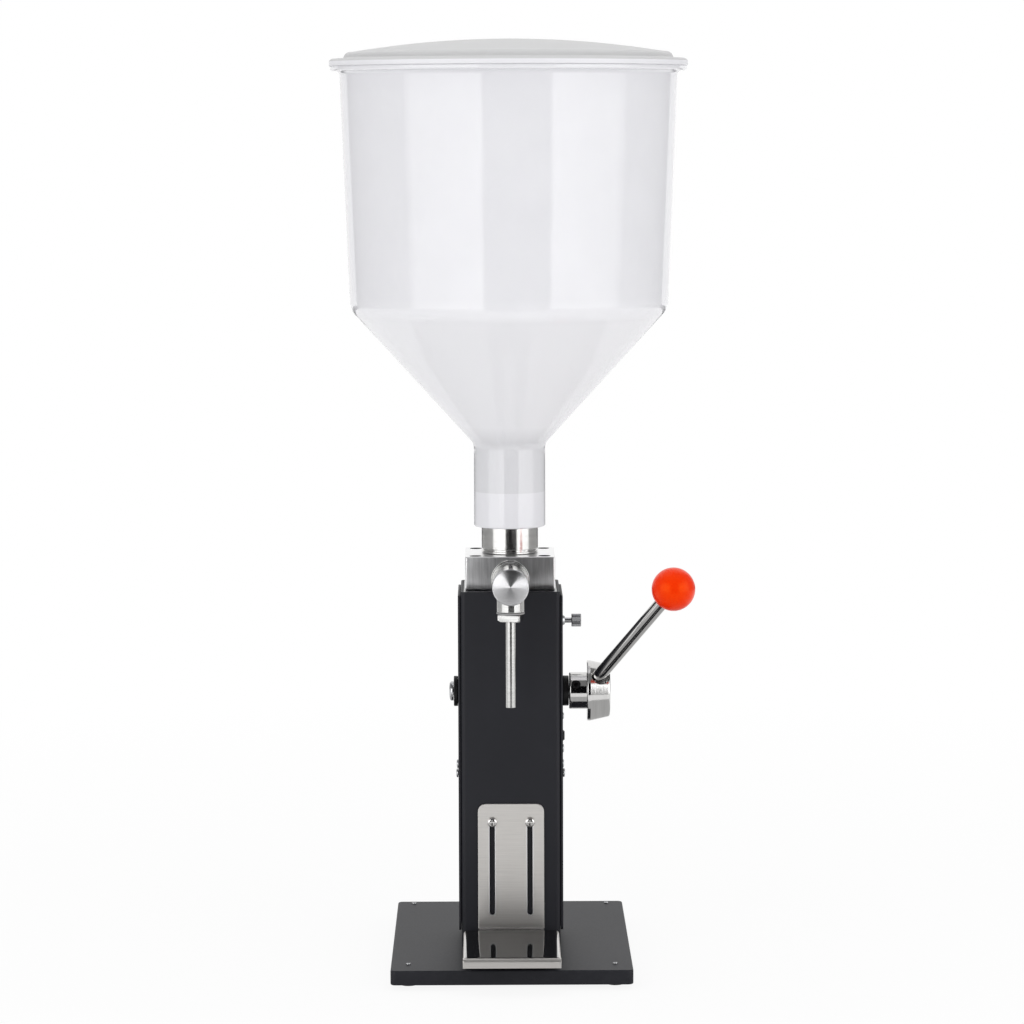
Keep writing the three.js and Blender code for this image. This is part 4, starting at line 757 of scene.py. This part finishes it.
set_screw = moved(socket_head(3.2, 13.1, 7.1, 3.2, 3), screw_turn, screw_root)
make("hub_grub_screw", set_screw, nylon, "handle", "black_nylon", "hub_set_screw")
BALL_RADIUS, ROD_SHORT = 16.0, 5.55  # the rod ends this far before the middle of the ball
rod = bar(5.1, 0, lever_length - ROD_SHORT, lever_turn, lever_root, 96, 0.8)
make("lever_bar", rod, chrome, "handle", "polished_stainless", "lever_rod")

theta = np.linspace(np.radians(157), 0, 72)
sphere = BALL_RADIUS * np.column_stack([np.sin(theta), np.cos(theta)])
socket = [(0, -4), (5.4, -4), (5.4, -14.6)]
ball = turned(np.vstack([socket, sphere]), 128, axis=lever_turn, at=ball_middle)
make("lever_ball", ball, orange, "handle", "orange_knob_plastic", "ball_knob")

# %% [markdown]
# ## Pump head, neck and discharge tube
#
# The head is a block of stainless steel, milled all over and brushed upright, with a polished
# chamfer round it that is painted brighter, a painted highlight. The discharge tube is turned from
# bar, and its spout is welded on: a union of two turned bodies, then one bore cut through both. The
# cap's face keeps the feed marks of the lathe: every 0.3 millimetres one long flank that looks
# outwards and one short one. The long flanks lean by 25 degrees at the middle and by 17 at the rim.

# %% Head block and its bolts
TUBE_Z, HEAD_DEPTH, BOLT_SEAT = 296.9, 33, 306.4
block_outline = rectangle(-HEAD_HALF, -HEAD_DEPTH, HEAD_HALF, HEAD_DEPTH, 1.3, steps=4)
block = moved(plate([block_outline], HEAD_TOP - HEAD_LOW, 0.8), at=(0, 0, HEAD_LOW))
bolt_places = [(x, y) for y in (-BOLT_Y, BOLT_Y) for x in (-BOLT_X, BOLT_X)]
chamber = [(0, 286), (15, 286), (15, 304), (9, 304), (9, 307), (15, 307), (15, 314), (0, 314)]
outlet = [(0, -5), (6, -5), (6, 26.7), (9.3, 26.7), (9.3, 40), (0, 40)]
well = [(0, 286), (2.8, 286), (2.8, 306.1), (4.55, 306.1), (4.55, 312), (WELL, 312.5), (WELL, 314), (0, 314)]
cuts = [turned(chamber, 64), turned(outlet, 64, axis="-y", at=(0, 0, TUBE_Z))]
cuts += [turned(well, 48, at=(x, y, 0)) for x, y in bolt_places]
block = carved(block, *[("DIFFERENCE", cut) for cut in cuts])
make("head_block", block, front_brushed, "frame", "brushed_stainless", "pump_head")
for n, (x, y) in enumerate(bolt_places, 1):
    shank = rounded([(0, 278.0), (2.5, 278.0), (2.5, BOLT_SEAT), (0, BOLT_SEAT)], [0, 0.4, 0, 0])
    head = moved(socket_head(4.25, 5, 0, 4, 2.6), at=(x, y, BOLT_SEAT))
    bolt = carved(head, ("UNION", turned(shank, 32, at=(x, y, 0))))
    make(f"block_bolt_{n}", bolt, bolt_black_and_shade, "frame", "zinc_steel", f"head_bolt_{n}")

# %% Neck, tube and cap
neck = [(12, 307.6), (14.7, 307.6), (14.7, 312.6), (21.5, 312.6), (21.5, 314.2), (20.6, 314.2), (20.6, 315.8),
        (21.5, 315.8), (21.5, 355.3), (17, 355.3), (17, 314.2), (12, 312.6)]
neck_line = rounded(neck, [0.4, 0.4, 0.2, 0.4, 0.25, 0.2, 0.2, 0.25, 1.0, 0.5, 1.5, 0.5], closed=True)
make("hopper_neck", turned(neck_line, 128, True), neck_polished, "frame", "polished_stainless", "inlet_neck")

tube_root, SPOUT_Y, SPOUT_LOW = (0, 0, TUBE_Z), -77.6, 276.4
tube_line = [(0, 27), (9, 27), (9, 45.8), (14.5, 45.8), (14.5, 48.8), (13.5, 48.8), (13.5, 50.3),
             (12.5, 50.3), (12.5, 88.8), (0, 88.8)]
tube_line = rounded(tube_line, [0, 0.3, 0.2, 0.4, 0.6, 0.2, 0.5, 0.4, 0.4, 0])
spout = rounded([(0, SPOUT_LOW), (10.7, SPOUT_LOW), (10.7, TUBE_Z), (0, TUBE_Z)], [0, 0.5, 0.1, 0])
through = [(0, 26), (6, 26), (6, 48.8), (9.5, 48.8), (9.5, 90), (0, 90)]
downward = [(0, SPOUT_LOW - 1), (7, SPOUT_LOW - 1), (7, TUBE_Z), (0, TUBE_Z)]
tube = carved(
    turned(tube_line, 128, axis="-y", at=tube_root),
    ("UNION", turned(spout, 96, at=(0, SPOUT_Y, 0))),
    ("DIFFERENCE", turned(through, 96, axis="-y", at=tube_root)),
    ("DIFFERENCE", turned(downward, 64, at=(0, SPOUT_Y, 0))),
)
make("outlet_tube", tube, spout_polished, "frame", "brushed_stainless", "discharge_tube")

CAP_FACE, FACE_RADIUS, FEED, FLANK = 98.1, 13.1, 0.3, 0.26
cap = [(0, 71.8), (7.5, 71.8), (7.5, 73.8), (3, 73.8), (3, 83.1), (9.2, 83.1), (9.2, 89.1), (13.6, 89.1),
       (13.6, CAP_FACE), (13.0, CAP_FACE)]
cap_line = rounded(cap, [0, 0.3, 0.3, 0.5, 0.5, 0.5, 0.3, 0.8, 0.4, 0], steps=6)
marks = np.arange(FACE_RADIUS, 0.4, -FEED)
rise = FLANK * np.tan(np.radians(25 - 8 * marks / FACE_RADIUS))
low = np.column_stack([marks, CAP_FACE - rise])
high = np.column_stack([marks - FLANK, np.full(len(marks), CAP_FACE)])
cap_line = np.vstack([cap_line[:-1], np.stack([low, high], 1).reshape(-1, 2), [(0, CAP_FACE - 0.1)]])
cap = turned(cap_line, 144, axis="-y", at=tube_root)
make("tube_cap", cap, face_turned, "frame", "brushed_stainless", "end_cap")

# %% [markdown]
# The nozzle hangs below the spout: a soft washer, a square fitting with its corners turned
# off, and a thin drawn tube. The fitting stands a few degrees askew, as it was screwed home. Its
# turned-off corners are what a square bar and a double cone have in common.

# %% Washer, square fitting and nozzle
washer = rounded([(7, 274.9), (10.5, 274.9), (10.5, 276.1), (7, 276.1)], 0.3, closed=True, steps=3)
washer = turned(washer, 96, True, at=(0, SPOUT_Y, 0))
make("spout_gasket", washer, grey_washer, "frame", "white_polymer", "spout_washer")
askew = np.radians(-10.5)
askew_turn = facing((0, 0, 1), (np.cos(askew), np.sin(askew), 0))
square = plate([rectangle(-8.5, -8.5, 8.5, 8.5, 0.8, steps=3)], 5.2, 0.4)
cone = turned([(0, -1), (9.2, -1), (12.0, 1.8), (12.0, 4.2), (11.2, 6.2), (0, 6.2)], 96)
stub = turned(rounded([(0, 2), (6.7, 2), (6.7, 14.2), (0, 14.2)], [0, 0, 0.5, 0]), 64)
bore = turned([(0, -1), (4.15, -1), (4.15, 3.3), (2.3, 3.3), (2.3, 16), (0, 16)], 64)
fitting = carved(square, ("INTERSECT", cone), ("UNION", stub), ("DIFFERENCE", bore))
fitting = moved(fitting, askew_turn, (0, SPOUT_Y, 269.4))
make("square_fitting", fitting, spout_polished, "frame", "polished_stainless", "nozzle_adapter", crease=15)
nozzle = rounded([(3.05, 204.4), (3.85, 204.4), (3.85, 272.4), (3.05, 272.4)], 0.25, closed=True, steps=3)
nozzle = turned(nozzle, 64, True, at=(0, SPOUT_Y, 0))
make("thin_nozzle", nozzle, spout_polished, "frame", "polished_stainless", "nozzle_tube")

# %% [markdown]
# ## Hopper and lid
#
# The hopper is one wall of even thickness: a spigot that stands on the neck, a cone, a tall
# body that opens slightly, and a rim. Its outline is a bent strip, so both faces follow from
# the middle line. The rim turns outwards in a flange, and the lid's bead lies on it.

# %% Hopper
SPIGOT_LOW, SPIGOT_FLOOR, CONE_LOW, WALL = 332.6, 359.6, 396.4, 3.5
middle = [(25.45, SPIGOT_LOW), (25.45, CONE_LOW), (118.85, 498.7), (125.95, 679.3), (134.6, 679.3)]
(inner, inner_r), (outer, outer_r) = pressed(middle, [11, 16, 7], WALL)
foot = [(21.8, SPIGOT_LOW), (21.8, 355.6), (17.8, 355.6), (17.8, SPIGOT_FLOOR), (23.7, SPIGOT_FLOOR)]
hopper_line = np.vstack([outer, inner[::-1][:-1], foot[::-1]])
foot_r = [0.8, 0.6, 0.6, 0.5, 0.6]
hopper_r = np.concatenate([[1.2], outer_r[1:-1], [1.6], [0.6], inner_r[::-1][1:-1], foot_r])
hopper = turned(rounded(hopper_line, hopper_r, closed=True, steps=10), 192, True)
# painted shade: the hopper's spigot above its floor is painted darker
milky = milky_plastic("milky_polypropylene", (SPIGOT_FLOOR, CONE_LOW), 14, (0.71, 0.71, 0.735))
make("milk_hopper", hopper, milky, "hopper_vessel", "milky_polypropylene", "hopper")

# %% Lid
LID_TOP, LID_WALL = 701.55, 2.5
dome_radius = np.linspace(0, 116, 14)
dome = np.column_stack([dome_radius, LID_TOP - 7.0e-4 * dome_radius**2])
edge = [(122.6, 691.5), (124.8, 686.75), (135.2, 686.75), (135.2, 681.1), (127.7, 681.1), (127.7, 684.25),
        (122.8, 684.25), (122.8, 672.35), (120.3, 672.35), (120.3, 688.9)]
edge_r = [5.5, 2.0, 4.8, 0.7, 0.4, 0.6, 0.6, 0.8, 0.8, 1.5]
lid_line = np.vstack([dome, edge, dome[::-1] - (0, LID_WALL)])
lid_r = np.concatenate([np.zeros(len(dome)), edge_r, np.zeros(len(dome))])
lid = turned(rounded(lid_line, lid_r, steps=8), 192)
# painted shade: the lid's top is painted darker than the light falling on it makes it
milky_lid = milky_plastic("milky_polypropylene_lid", (684.8, 750), 10, (0.58, 0.58, 0.585), 0.45)
make("domed_lid", lid, milky_lid, "hopper_lid", "milky_polypropylene", "lid")

# %% [markdown]
# ## The folded tray
#
# The bottle tray is one sheet: an upright plate with two slots, a bend, a shelf, and lips on
# three sides. It is drawn flat, as the press shop gets it, with the fold lines inside the
# outline, and then folded: each point keeps its distance along the sheet, and its height in
# the sheet is measured along the normal of the bend that it lies in.

# %% Flat pattern and folds
SHEET, HALF_SHEET, INSIDE_BEND = 1.5, 0.75, 1.6
TRAY_TOP, PLATE_FRONT, LIP_FRONT, LIP_SIDE, LIP_LOW = 125.8, -47.3, -147.8, 36.2, 21.8
PLATE_HALF, PLATE_CORNER, TRAY_EDGE, RELIEF = 25, 6, 0.2, 0.3
BEND = INSIDE_BEND + HALF_SHEET  # to the middle of the sheet, as all the places below are
SHELF_Z, TRAY_Y, TRAY_FRONT = SHELF_TOP - HALF_SHEET, PLATE_FRONT + HALF_SHEET, LIP_FRONT + HALF_SHEET
arc_length = BEND * np.pi / 2
plate_length = TRAY_TOP - SHELF_Z - BEND
shelf_start = plate_length + arc_length
shelf_end = shelf_start + (TRAY_Y - TRAY_FRONT) - 2 * BEND
lip = SHELF_TOP - LIP_LOW - HALF_SHEET - BEND
tray_end = shelf_end + arc_length + lip
neck_end = shelf_start + 4 - BEND + HALF_SHEET
side_fold = LIP_SIDE - HALF_SHEET - BEND
side_end = side_fold + arc_length + lip
fold_x = side_fold + arc_length * np.linspace(0, 1, 7)
fold_s = [plate_length + arc_length * np.linspace(0, 1, 9), shelf_end + arc_length * np.linspace(0, 1, 7)]


def half_outline():
    """The right half of the flat pattern, from the plate's top middle down to the front lip: x is
    the distance from the middle, and s the distance along the sheet from the plate's top."""
    t = np.linspace(0, np.pi / 2, 7)
    x = [*(PLATE_HALF - PLATE_CORNER + PLATE_CORNER * np.sin(t))] + [PLATE_HALF] * (len(fold_s[0]) + 1)
    s = [*(PLATE_CORNER - PLATE_CORNER * np.cos(t)), *fold_s[0], neck_end]
    x, s = [*x, *fold_x, side_end], s + [neck_end] * 8
    x, s = [*x, side_end, *fold_x[::-1]], s + [shelf_end - RELIEF] * 8
    x, s = x + [side_fold] * 2 + [LIP_SIDE], s + [shelf_end] + [shelf_end + 0.05] * 2
    x, s = x + [LIP_SIDE] * len(fold_s[1]), [*s, *fold_s[1][1:], tray_end]
    return np.column_stack([x, s])


right = half_outline()
right = right[np.concatenate([[True], np.hypot(*np.diff(right, axis=0).T) > 0.02])]
flat_outline = np.vstack([right, right[::-1] * (-1, 1)])


def slot_line(x, low, high, width=SLOT_WIDTH, steps=16):
    """A long hole: two half circles joined by straight sides, clockwise."""
    t = np.linspace(0, np.pi, steps)
    top = np.column_stack([x - width / 2 * np.cos(t), high + width / 2 * np.sin(t)])
    return np.vstack([top, (2 * x, low + high) - top])


def folds(line):
    """Pairs of outline points that lie on the same fold: equal places along or across the sheet."""
    rim = inset(line, eased(SHEET, TRAY_EDGE)[0, 0])
    pairs = []
    for s in np.concatenate(fold_s):
        found = np.flatnonzero(np.abs(line[:, 1] - s) < 1e-6)
        pairs.append((int(found[np.argmin(rim[found, 0])]), int(found[np.argmax(rim[found, 0])])))
    for x in np.concatenate([fold_x, -fold_x]):
        found = np.flatnonzero((np.abs(line[:, 0] - x) < 1e-6) & (line[:, 1] < shelf_end - 0.1))
        pairs.append((int(found[np.argmin(rim[found, 1])]), int(found[np.argmax(rim[found, 1])])))
    return pairs


slots = [slot_line(x, TRAY_TOP - SLOT_HIGH, TRAY_TOP - SLOT_LOW)[::-1] for x in (-SLOT_X, SLOT_X)]
sheet = plate([flat_outline, *slots], SHEET, TRAY_EDGE, bends=folds(flat_outline))


def bent(distance, start):
    """Along and down from a fold's start, and the sheet's angle there: an arc over a quarter turn."""
    angle = np.clip((distance - start) / BEND, 0, np.pi / 2)
    beyond = np.maximum(distance - start - arc_length, 0)
    along = np.minimum(distance, start) + BEND * np.sin(angle)
    return along, BEND * (1 - np.cos(angle)) + beyond, angle


def folded(points):
    """Bends the flat sheet at the plate's foot, at the shelf's sides and at its front edge. The
    side folds are only for points between the two others, where the sheet is wide."""
    x, s, n = points[:, 0], points[:, 1], points[:, 2] - HALF_SHEET
    wide = (s > neck_end - 0.1) & (s < shelf_end - 0.1)
    across_x, drop, lean = bent(np.abs(x), side_fold)
    along, fall, dip = bent(s, shelf_end)
    z_plate, forward, swing = bent(np.minimum(s, shelf_end), plate_length)
    y = TRAY_Y - forward - (along - np.minimum(s, shelf_end)) - n * np.cos(swing) * (s < shelf_end)
    up = n * (np.sin(swing) * np.cos(lean) * np.cos(dip))
    y = y - n * np.sin(dip)
    x_out = np.sign(x) * (across_x + n * np.sin(lean))
    z = TRAY_TOP - z_plate + up - drop - fall
    return np.column_stack([np.where(wide, x_out, x), y, np.where(wide, z, z + drop)])


tray = outward(folded(sheet[0]), sheet[1])
make("folded_tray", tray, tray_brushed, "tray", "polished_stainless", "tray_bracket")
for name, x in (("left", -SLOT_X), ("right", SLOT_X)):
    screw = moved(pan_head(7.4, 2.8, 4, 9, 2.3, 1.7), "-y", (x, PLATE_FRONT - 0.3, SLOT_HIGH))
    make(f"tray_clamp_screw_{name}", screw, chrome, "frame", "zinc_steel", f"tray_screw_{name}")

# %% [markdown]
# ## Thumb screw
#
# A small knurled screw clamps the pump barrel. Its head is a turned cylinder whose radius dips
# in fine flutes all the way round, fading out at the chamfered ends. A bump would leave its
# outline smooth, so the flutes are in the mesh, where one formula for the radius is enough.

# %% Knurled head and threaded insert
FLUTES, FLUTE_DEPTH, THUMB_ROOT = 36, 0.28, (0, 0, THUMB_Z)
angle = np.linspace(0, 2 * np.pi, 240, endpoint=False)
line = [(2.0, 25.3), (2.0, 47.0), (4.9, 47.0), (4.9, 54.4), (0.5, 54.4)]
line = rounded(line, [0, 0.1, 0.6, 0.6, 0], steps=4)
fade = np.clip((line[:, 0] - 4.2) / 0.5, 0, 1)
flute = (0.5 - 0.5 * np.cos(FLUTES * angle)) ** 0.7
radius = line[:, :1] - FLUTE_DEPTH * fade[:, None] * flute
height = np.broadcast_to(line[:, 1:], radius.shape)
rings = np.stack([radius * np.cos(angle), radius * np.sin(angle), height], -1)
thumb = moved(skin(rings), "x", THUMB_ROOT)
make("knurled_screw", thumb, zinc, "barrel_lock", "zinc_steel", "thumb_screw")
insert = [(2.3, 30.5), (3.3, 30.5), (3.3, SIDE_SEAT), (4.3, SIDE_SEAT), (3.2, 41.9), (2.3, 41.9)]
insert = turned(rounded(insert, 0.15, closed=True, steps=3), 64, True, "x", THUMB_ROOT)
make("threaded_insert", insert, zinc, "frame", "zinc_steel", "thumb_insert")

# %% [markdown]
# ## Finishes for the solids that stay
#
# The pump's inside is right as CAD drew it: rack, pinion, piston, valves and springs. They
# keep their meshes and only get a finish in their one material slot, by the name that CAD gave
# it. So does the deck on the column, which wears a glossier coat than the folded sheet.

# %% Dress the CAD nodes that show
inner_finish = {"zinc_steel": zinc, "white_polymer": white_polymer, "black_rubber": rubber}
kept = [name for name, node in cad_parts.items() if not node.hide_render]
for name in kept:
    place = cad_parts[name].material_slots[0]
    place.material = deck_coat if name == "top_deck" else inner_finish.get(place.name, inner_steel)
print(len(kept), "CAD nodes keep their shape:", ", ".join(sorted(kept)))

# %% [markdown]
# ## Studio
#
# Two tall softboxes stand left and right of the camera. Between them the camera's own side of
# the room stays dark, and that gap is the dark upright band on every polished cylinder. Dark
# cards, seen only in reflections, stand for it, and for the room behind that draws the edges.
# Grey cards beside and above them stand for walls and ceiling, which polished steel also shows.

# %% Floor, backdrop and cards
SEEN_BY = ("Camera", "Glossy", "Transmission")


def stage_material(name, colour, glow, share):
    """A plain surface that also glows towards the camera and in mirrors, by a share that rises
    to all of it away from the object, so that the floor runs out into the white backdrop."""
    f = Finish(name, Roughness=0.9, Specular_IOR_Level=0.0)
    f.surface.inputs["Base Color"].default_value = colour
    camera_ray, *mirror_rays = (f.node("LightPath", output=f"Is {ray} Ray") for ray in SEEN_BY)
    seen = camera_ray.most(mirror_rays[0].most(mirror_rays[1]))
    light = f.node("Emission", None, {"Color": rgb(1, 1, 1), "Strength": glow})
    at = f.node("TexCoord", output="Object")
    distance = f.node("VectorMath", {"operation": "LENGTH"}, {0: at}, output=1)
    factor = seen * (share + (1 - share) * distance.over(0.35, 1.3))
    surface = Value(f, f.surface.outputs[0])
    mixed = f.node("MixShader", inputs={0: factor, 1: surface, 2: light})
    f.tree.links.new(mixed.socket, f.tree.nodes["Material Output"].inputs["Surface"])
    return f.material


def sheet_object(name, corners, material):
    """One flat face on the stage, which is not part of the machine."""
    mesh = bpy.data.meshes.new(name)
    mesh.from_pydata([tuple(c) for c in corners], [], [tuple(range(len(corners)))])
    mesh.materials.append(material)
    card = bpy.data.objects.new(name, mesh)
    bpy.context.scene.collection.objects.link(card)
    return card


spread = np.linspace(0, 2 * np.pi, 64, endpoint=False)
disc = np.column_stack([30 * np.cos(spread), 30 * np.sin(spread), np.zeros(64)])
sheet_object("studio_floor", disc, stage_material("studio_floor_white", neutral(0.86), 1.0, 0.9))

dark = Finish("card_black", Roughness=1.0, Specular_IOR_Level=0.0)
dark.surface.inputs["Base Color"].default_value = rgb(0.004, 0.004, 0.0045)


def card_grey(name, level):
    """A card that shines by itself a little, so that it is equally grey everywhere."""
    f = Finish(name, Roughness=1.0, Specular_IOR_Level=0.0, Emission_Strength=1.0)
    f.surface.inputs["Base Color"].default_value = neutral(0)
    f.surface.inputs["Emission Color"].default_value = neutral(level)
    return f.material


def mirror_only(name, corners, material):
    """A card that only mirrors see: it gives the metal something to show and takes no light."""
    made = sheet_object(name, corners, material)
    for way in ("camera", "diffuse", "shadow", "transmission"):
        setattr(made, "visible_" + way, False)
    print(f"{name}: seen in mirrors only")


def card(name, azimuths, distance, low, high, material=dark.material):
    """An upright card between two azimuths, counted from the camera's side towards +X."""
    a = np.radians(azimuths)
    foot = np.column_stack([distance * np.sin(a), -distance * np.cos(a), [low, low]])
    mirror_only(name, np.vstack([foot, foot[::-1] + (0, 0, high - low)]), material)


def mat(name, azimuths, near, far, material=dark.material):
    """A card just above the floor, between two azimuths and two distances."""
    height = 0.003
    ring = zip((near, near, far, far), np.radians([*azimuths, *azimuths[::-1]]))
    mirror_only(name, [(r * np.sin(a), -r * np.cos(a), height) for r, a in ring], material)


def level_card(name, x0, y0, x1, y1, height, material):
    """A card that lies flat at a height, between two opposite corners."""
    mirror_only(name, [(x0, y0, height), (x1, y0, height), (x1, y1, height), (x0, y1, height)], material)


DARK = (-17, 28)
grey = card_grey("card_grey", 0.3)
light_grey = card_grey("card_light_grey", 0.5)
dim_grey = card_grey("card_dim_grey", 0.2)
for side, azimuths, edge in (("left", (-142, -70), (-168, -142)), ("right", (80, 142), (142, 168))):
    card(f"grey_{side}", azimuths, 3.3, 0.0, 3.5, grey)
    mat(f"grey_floor_{side}", azimuths, 2.5, 3.3, grey)
    card(f"dark_{side}_edge", edge, 3.0, 0.0, 0.13)
    mat(f"dark_floor_{side}_edge", edge, 2.5, 3.0)
card("dark_gap", DARK, 3.4, 0.0, 2.5)
card("grey_above", DARK, 3.4, 2.5, 5.5, grey)
mat("dark_floor_front", DARK, 1.35, 3.4)
level_card("grey_floor_near", -0.4, -0.36, 0.4, 0.3, 0.002, light_grey)
level_card("grey_ceiling", -1.7, -2.4, 1.7, 0.6, 2.0, dim_grey)

# %% Lamps and world
LAMP_AIM = np.array([0, 0, 0.35])


def softbox(name, azimuth, elevation, distance, size, radiance, fade=1.0):
    """A lamp's power is its radiance times pi times its area. Across its width the radiance
    falls in a straight line from all of it, at the edge next to the dark gap, to its fade."""
    a, e = np.radians([azimuth, elevation])
    back = np.array([np.sin(a) * np.cos(e), -np.cos(a) * np.cos(e), np.sin(e)])
    light = bpy.data.lights.new(name, "AREA")
    light.shape, light.size, light.size_y = "RECTANGLE", *size
    light.energy = radiance * np.pi * size[0] * size[1]
    light.use_nodes = True
    tree = light.node_tree
    kinds = ("NewGeometry", "SeparateXYZ", "MapRange")
    place, split, ramp = (tree.nodes.new("ShaderNode" + kind) for kind in kinds)
    tree.links.new(place.outputs["Parametric"], split.inputs[0])
    tree.links.new(split.outputs[0], ramp.inputs["Value"])
    tree.links.new(ramp.outputs[0], tree.nodes["Emission"].inputs["Strength"])
    ends = (1.0, fade) if azimuth > 0 else (fade, 1.0)
    for end, value in zip(("To Min", "To Max"), ends):
        ramp.inputs[end].default_value = value
    lamp = bpy.data.objects.new(name, light)
    lamp.location = LAMP_AIM + back * distance
    x = np.cross((0, 0, 1.0), back)
    turn = np.eye(4)
    turn[:3, :3] = facing(back, x / np.linalg.norm(x))
    lamp.rotation_euler = Matrix(turn).to_euler()
    bpy.context.scene.collection.objects.link(lamp)
    lamp.visible_camera = False
    print(f"{name}: {light.energy:.1f} watts")
    return lamp


softbox("softbox_left", -46, 4, 2.2, (2.3, 2.0), 1.6, 0.55)
softbox("softbox_right", 57, 4, 2.2, (2.3, 2.0), 1.55, 0.55)
softbox("softbox_top", 0, 88, 2.2, (2.4, 2.4), 0.95).visible_glossy = False

world = bpy.data.worlds.new("white_room")
bpy.context.scene.world = world
world.use_nodes = True
nodes, links = world.node_tree.nodes, world.node_tree.links
path, mix = nodes.new("ShaderNodeLightPath"), nodes.new("ShaderNodeMixShader")
backgrounds = nodes["Background"], nodes.new("ShaderNodeBackground")
for n, strength in enumerate((0.68, 1.0)):  # as a lamp on the machine, and as the eye sees it
    backgrounds[n].inputs["Color"].default_value = neutral(1)
    backgrounds[n].inputs["Strength"].default_value = strength
    links.new(backgrounds[n].outputs[0], mix.inputs[n + 1])
seen = path.outputs[f"Is {SEEN_BY[0]} Ray"]
for ray in SEEN_BY[1:]:
    larger = nodes.new("ShaderNodeMath")
    larger.operation = "MAXIMUM"
    links.new(seen, larger.inputs[0])
    links.new(path.outputs[f"Is {ray} Ray"], larger.inputs[1])
    seen = larger.outputs[0]
links.new(seen, mix.inputs[0])
links.new(mix.outputs[0], nodes["World Output"].inputs["Surface"])

# %% [markdown]
# ## Camera
#
# A long lens, a little above the pump and looking slightly down. Its place, its turn and its
# focal length were solved from points of the machine whose places are known.

# %% Camera
FOCAL_PIXELS, PICTURE, SENSOR = 3772.4, 1024, 36.0
camera_at = np.array([-14.31, -2858.05, 641.34]) * MM
dip, aside, roll = np.radians([5.9465, 0.3213, -0.1746])
forward = np.array([np.sin(aside) * np.cos(dip), np.cos(aside) * np.cos(dip), -np.sin(dip)])
right_way = np.array([np.cos(aside), -np.sin(aside), 0])
up_way = np.cross(right_way, forward)
x_axis = np.cos(roll) * right_way + np.sin(roll) * up_way
y_axis = np.cos(roll) * up_way - np.sin(roll) * right_way
pose = np.eye(4)
pose[:3, :3] = np.column_stack([x_axis, y_axis, -forward])
lens = bpy.data.cameras.new("long_lens")
lens.sensor_width, lens.lens = SENSOR, FOCAL_PIXELS / PICTURE * SENSOR
lens.clip_start, lens.clip_end = 0.05, 80
camera = bpy.data.objects.new("camera", lens)
camera.rotation_mode = "QUATERNION"
camera.location = camera_at
camera.rotation_quaternion = Matrix(pose).to_quaternion()
bpy.context.scene.collection.objects.link(camera)
bpy.context.scene.camera = camera
bpy.context.scene.view_settings.view_transform = "Standard"
print("lens of", round(lens.lens, 1), "mm")

# %% [markdown]
# ## The end

# The dressed machine has to stay inside the CAD model's box.

# %% Finish
bpy.context.view_layer.update()
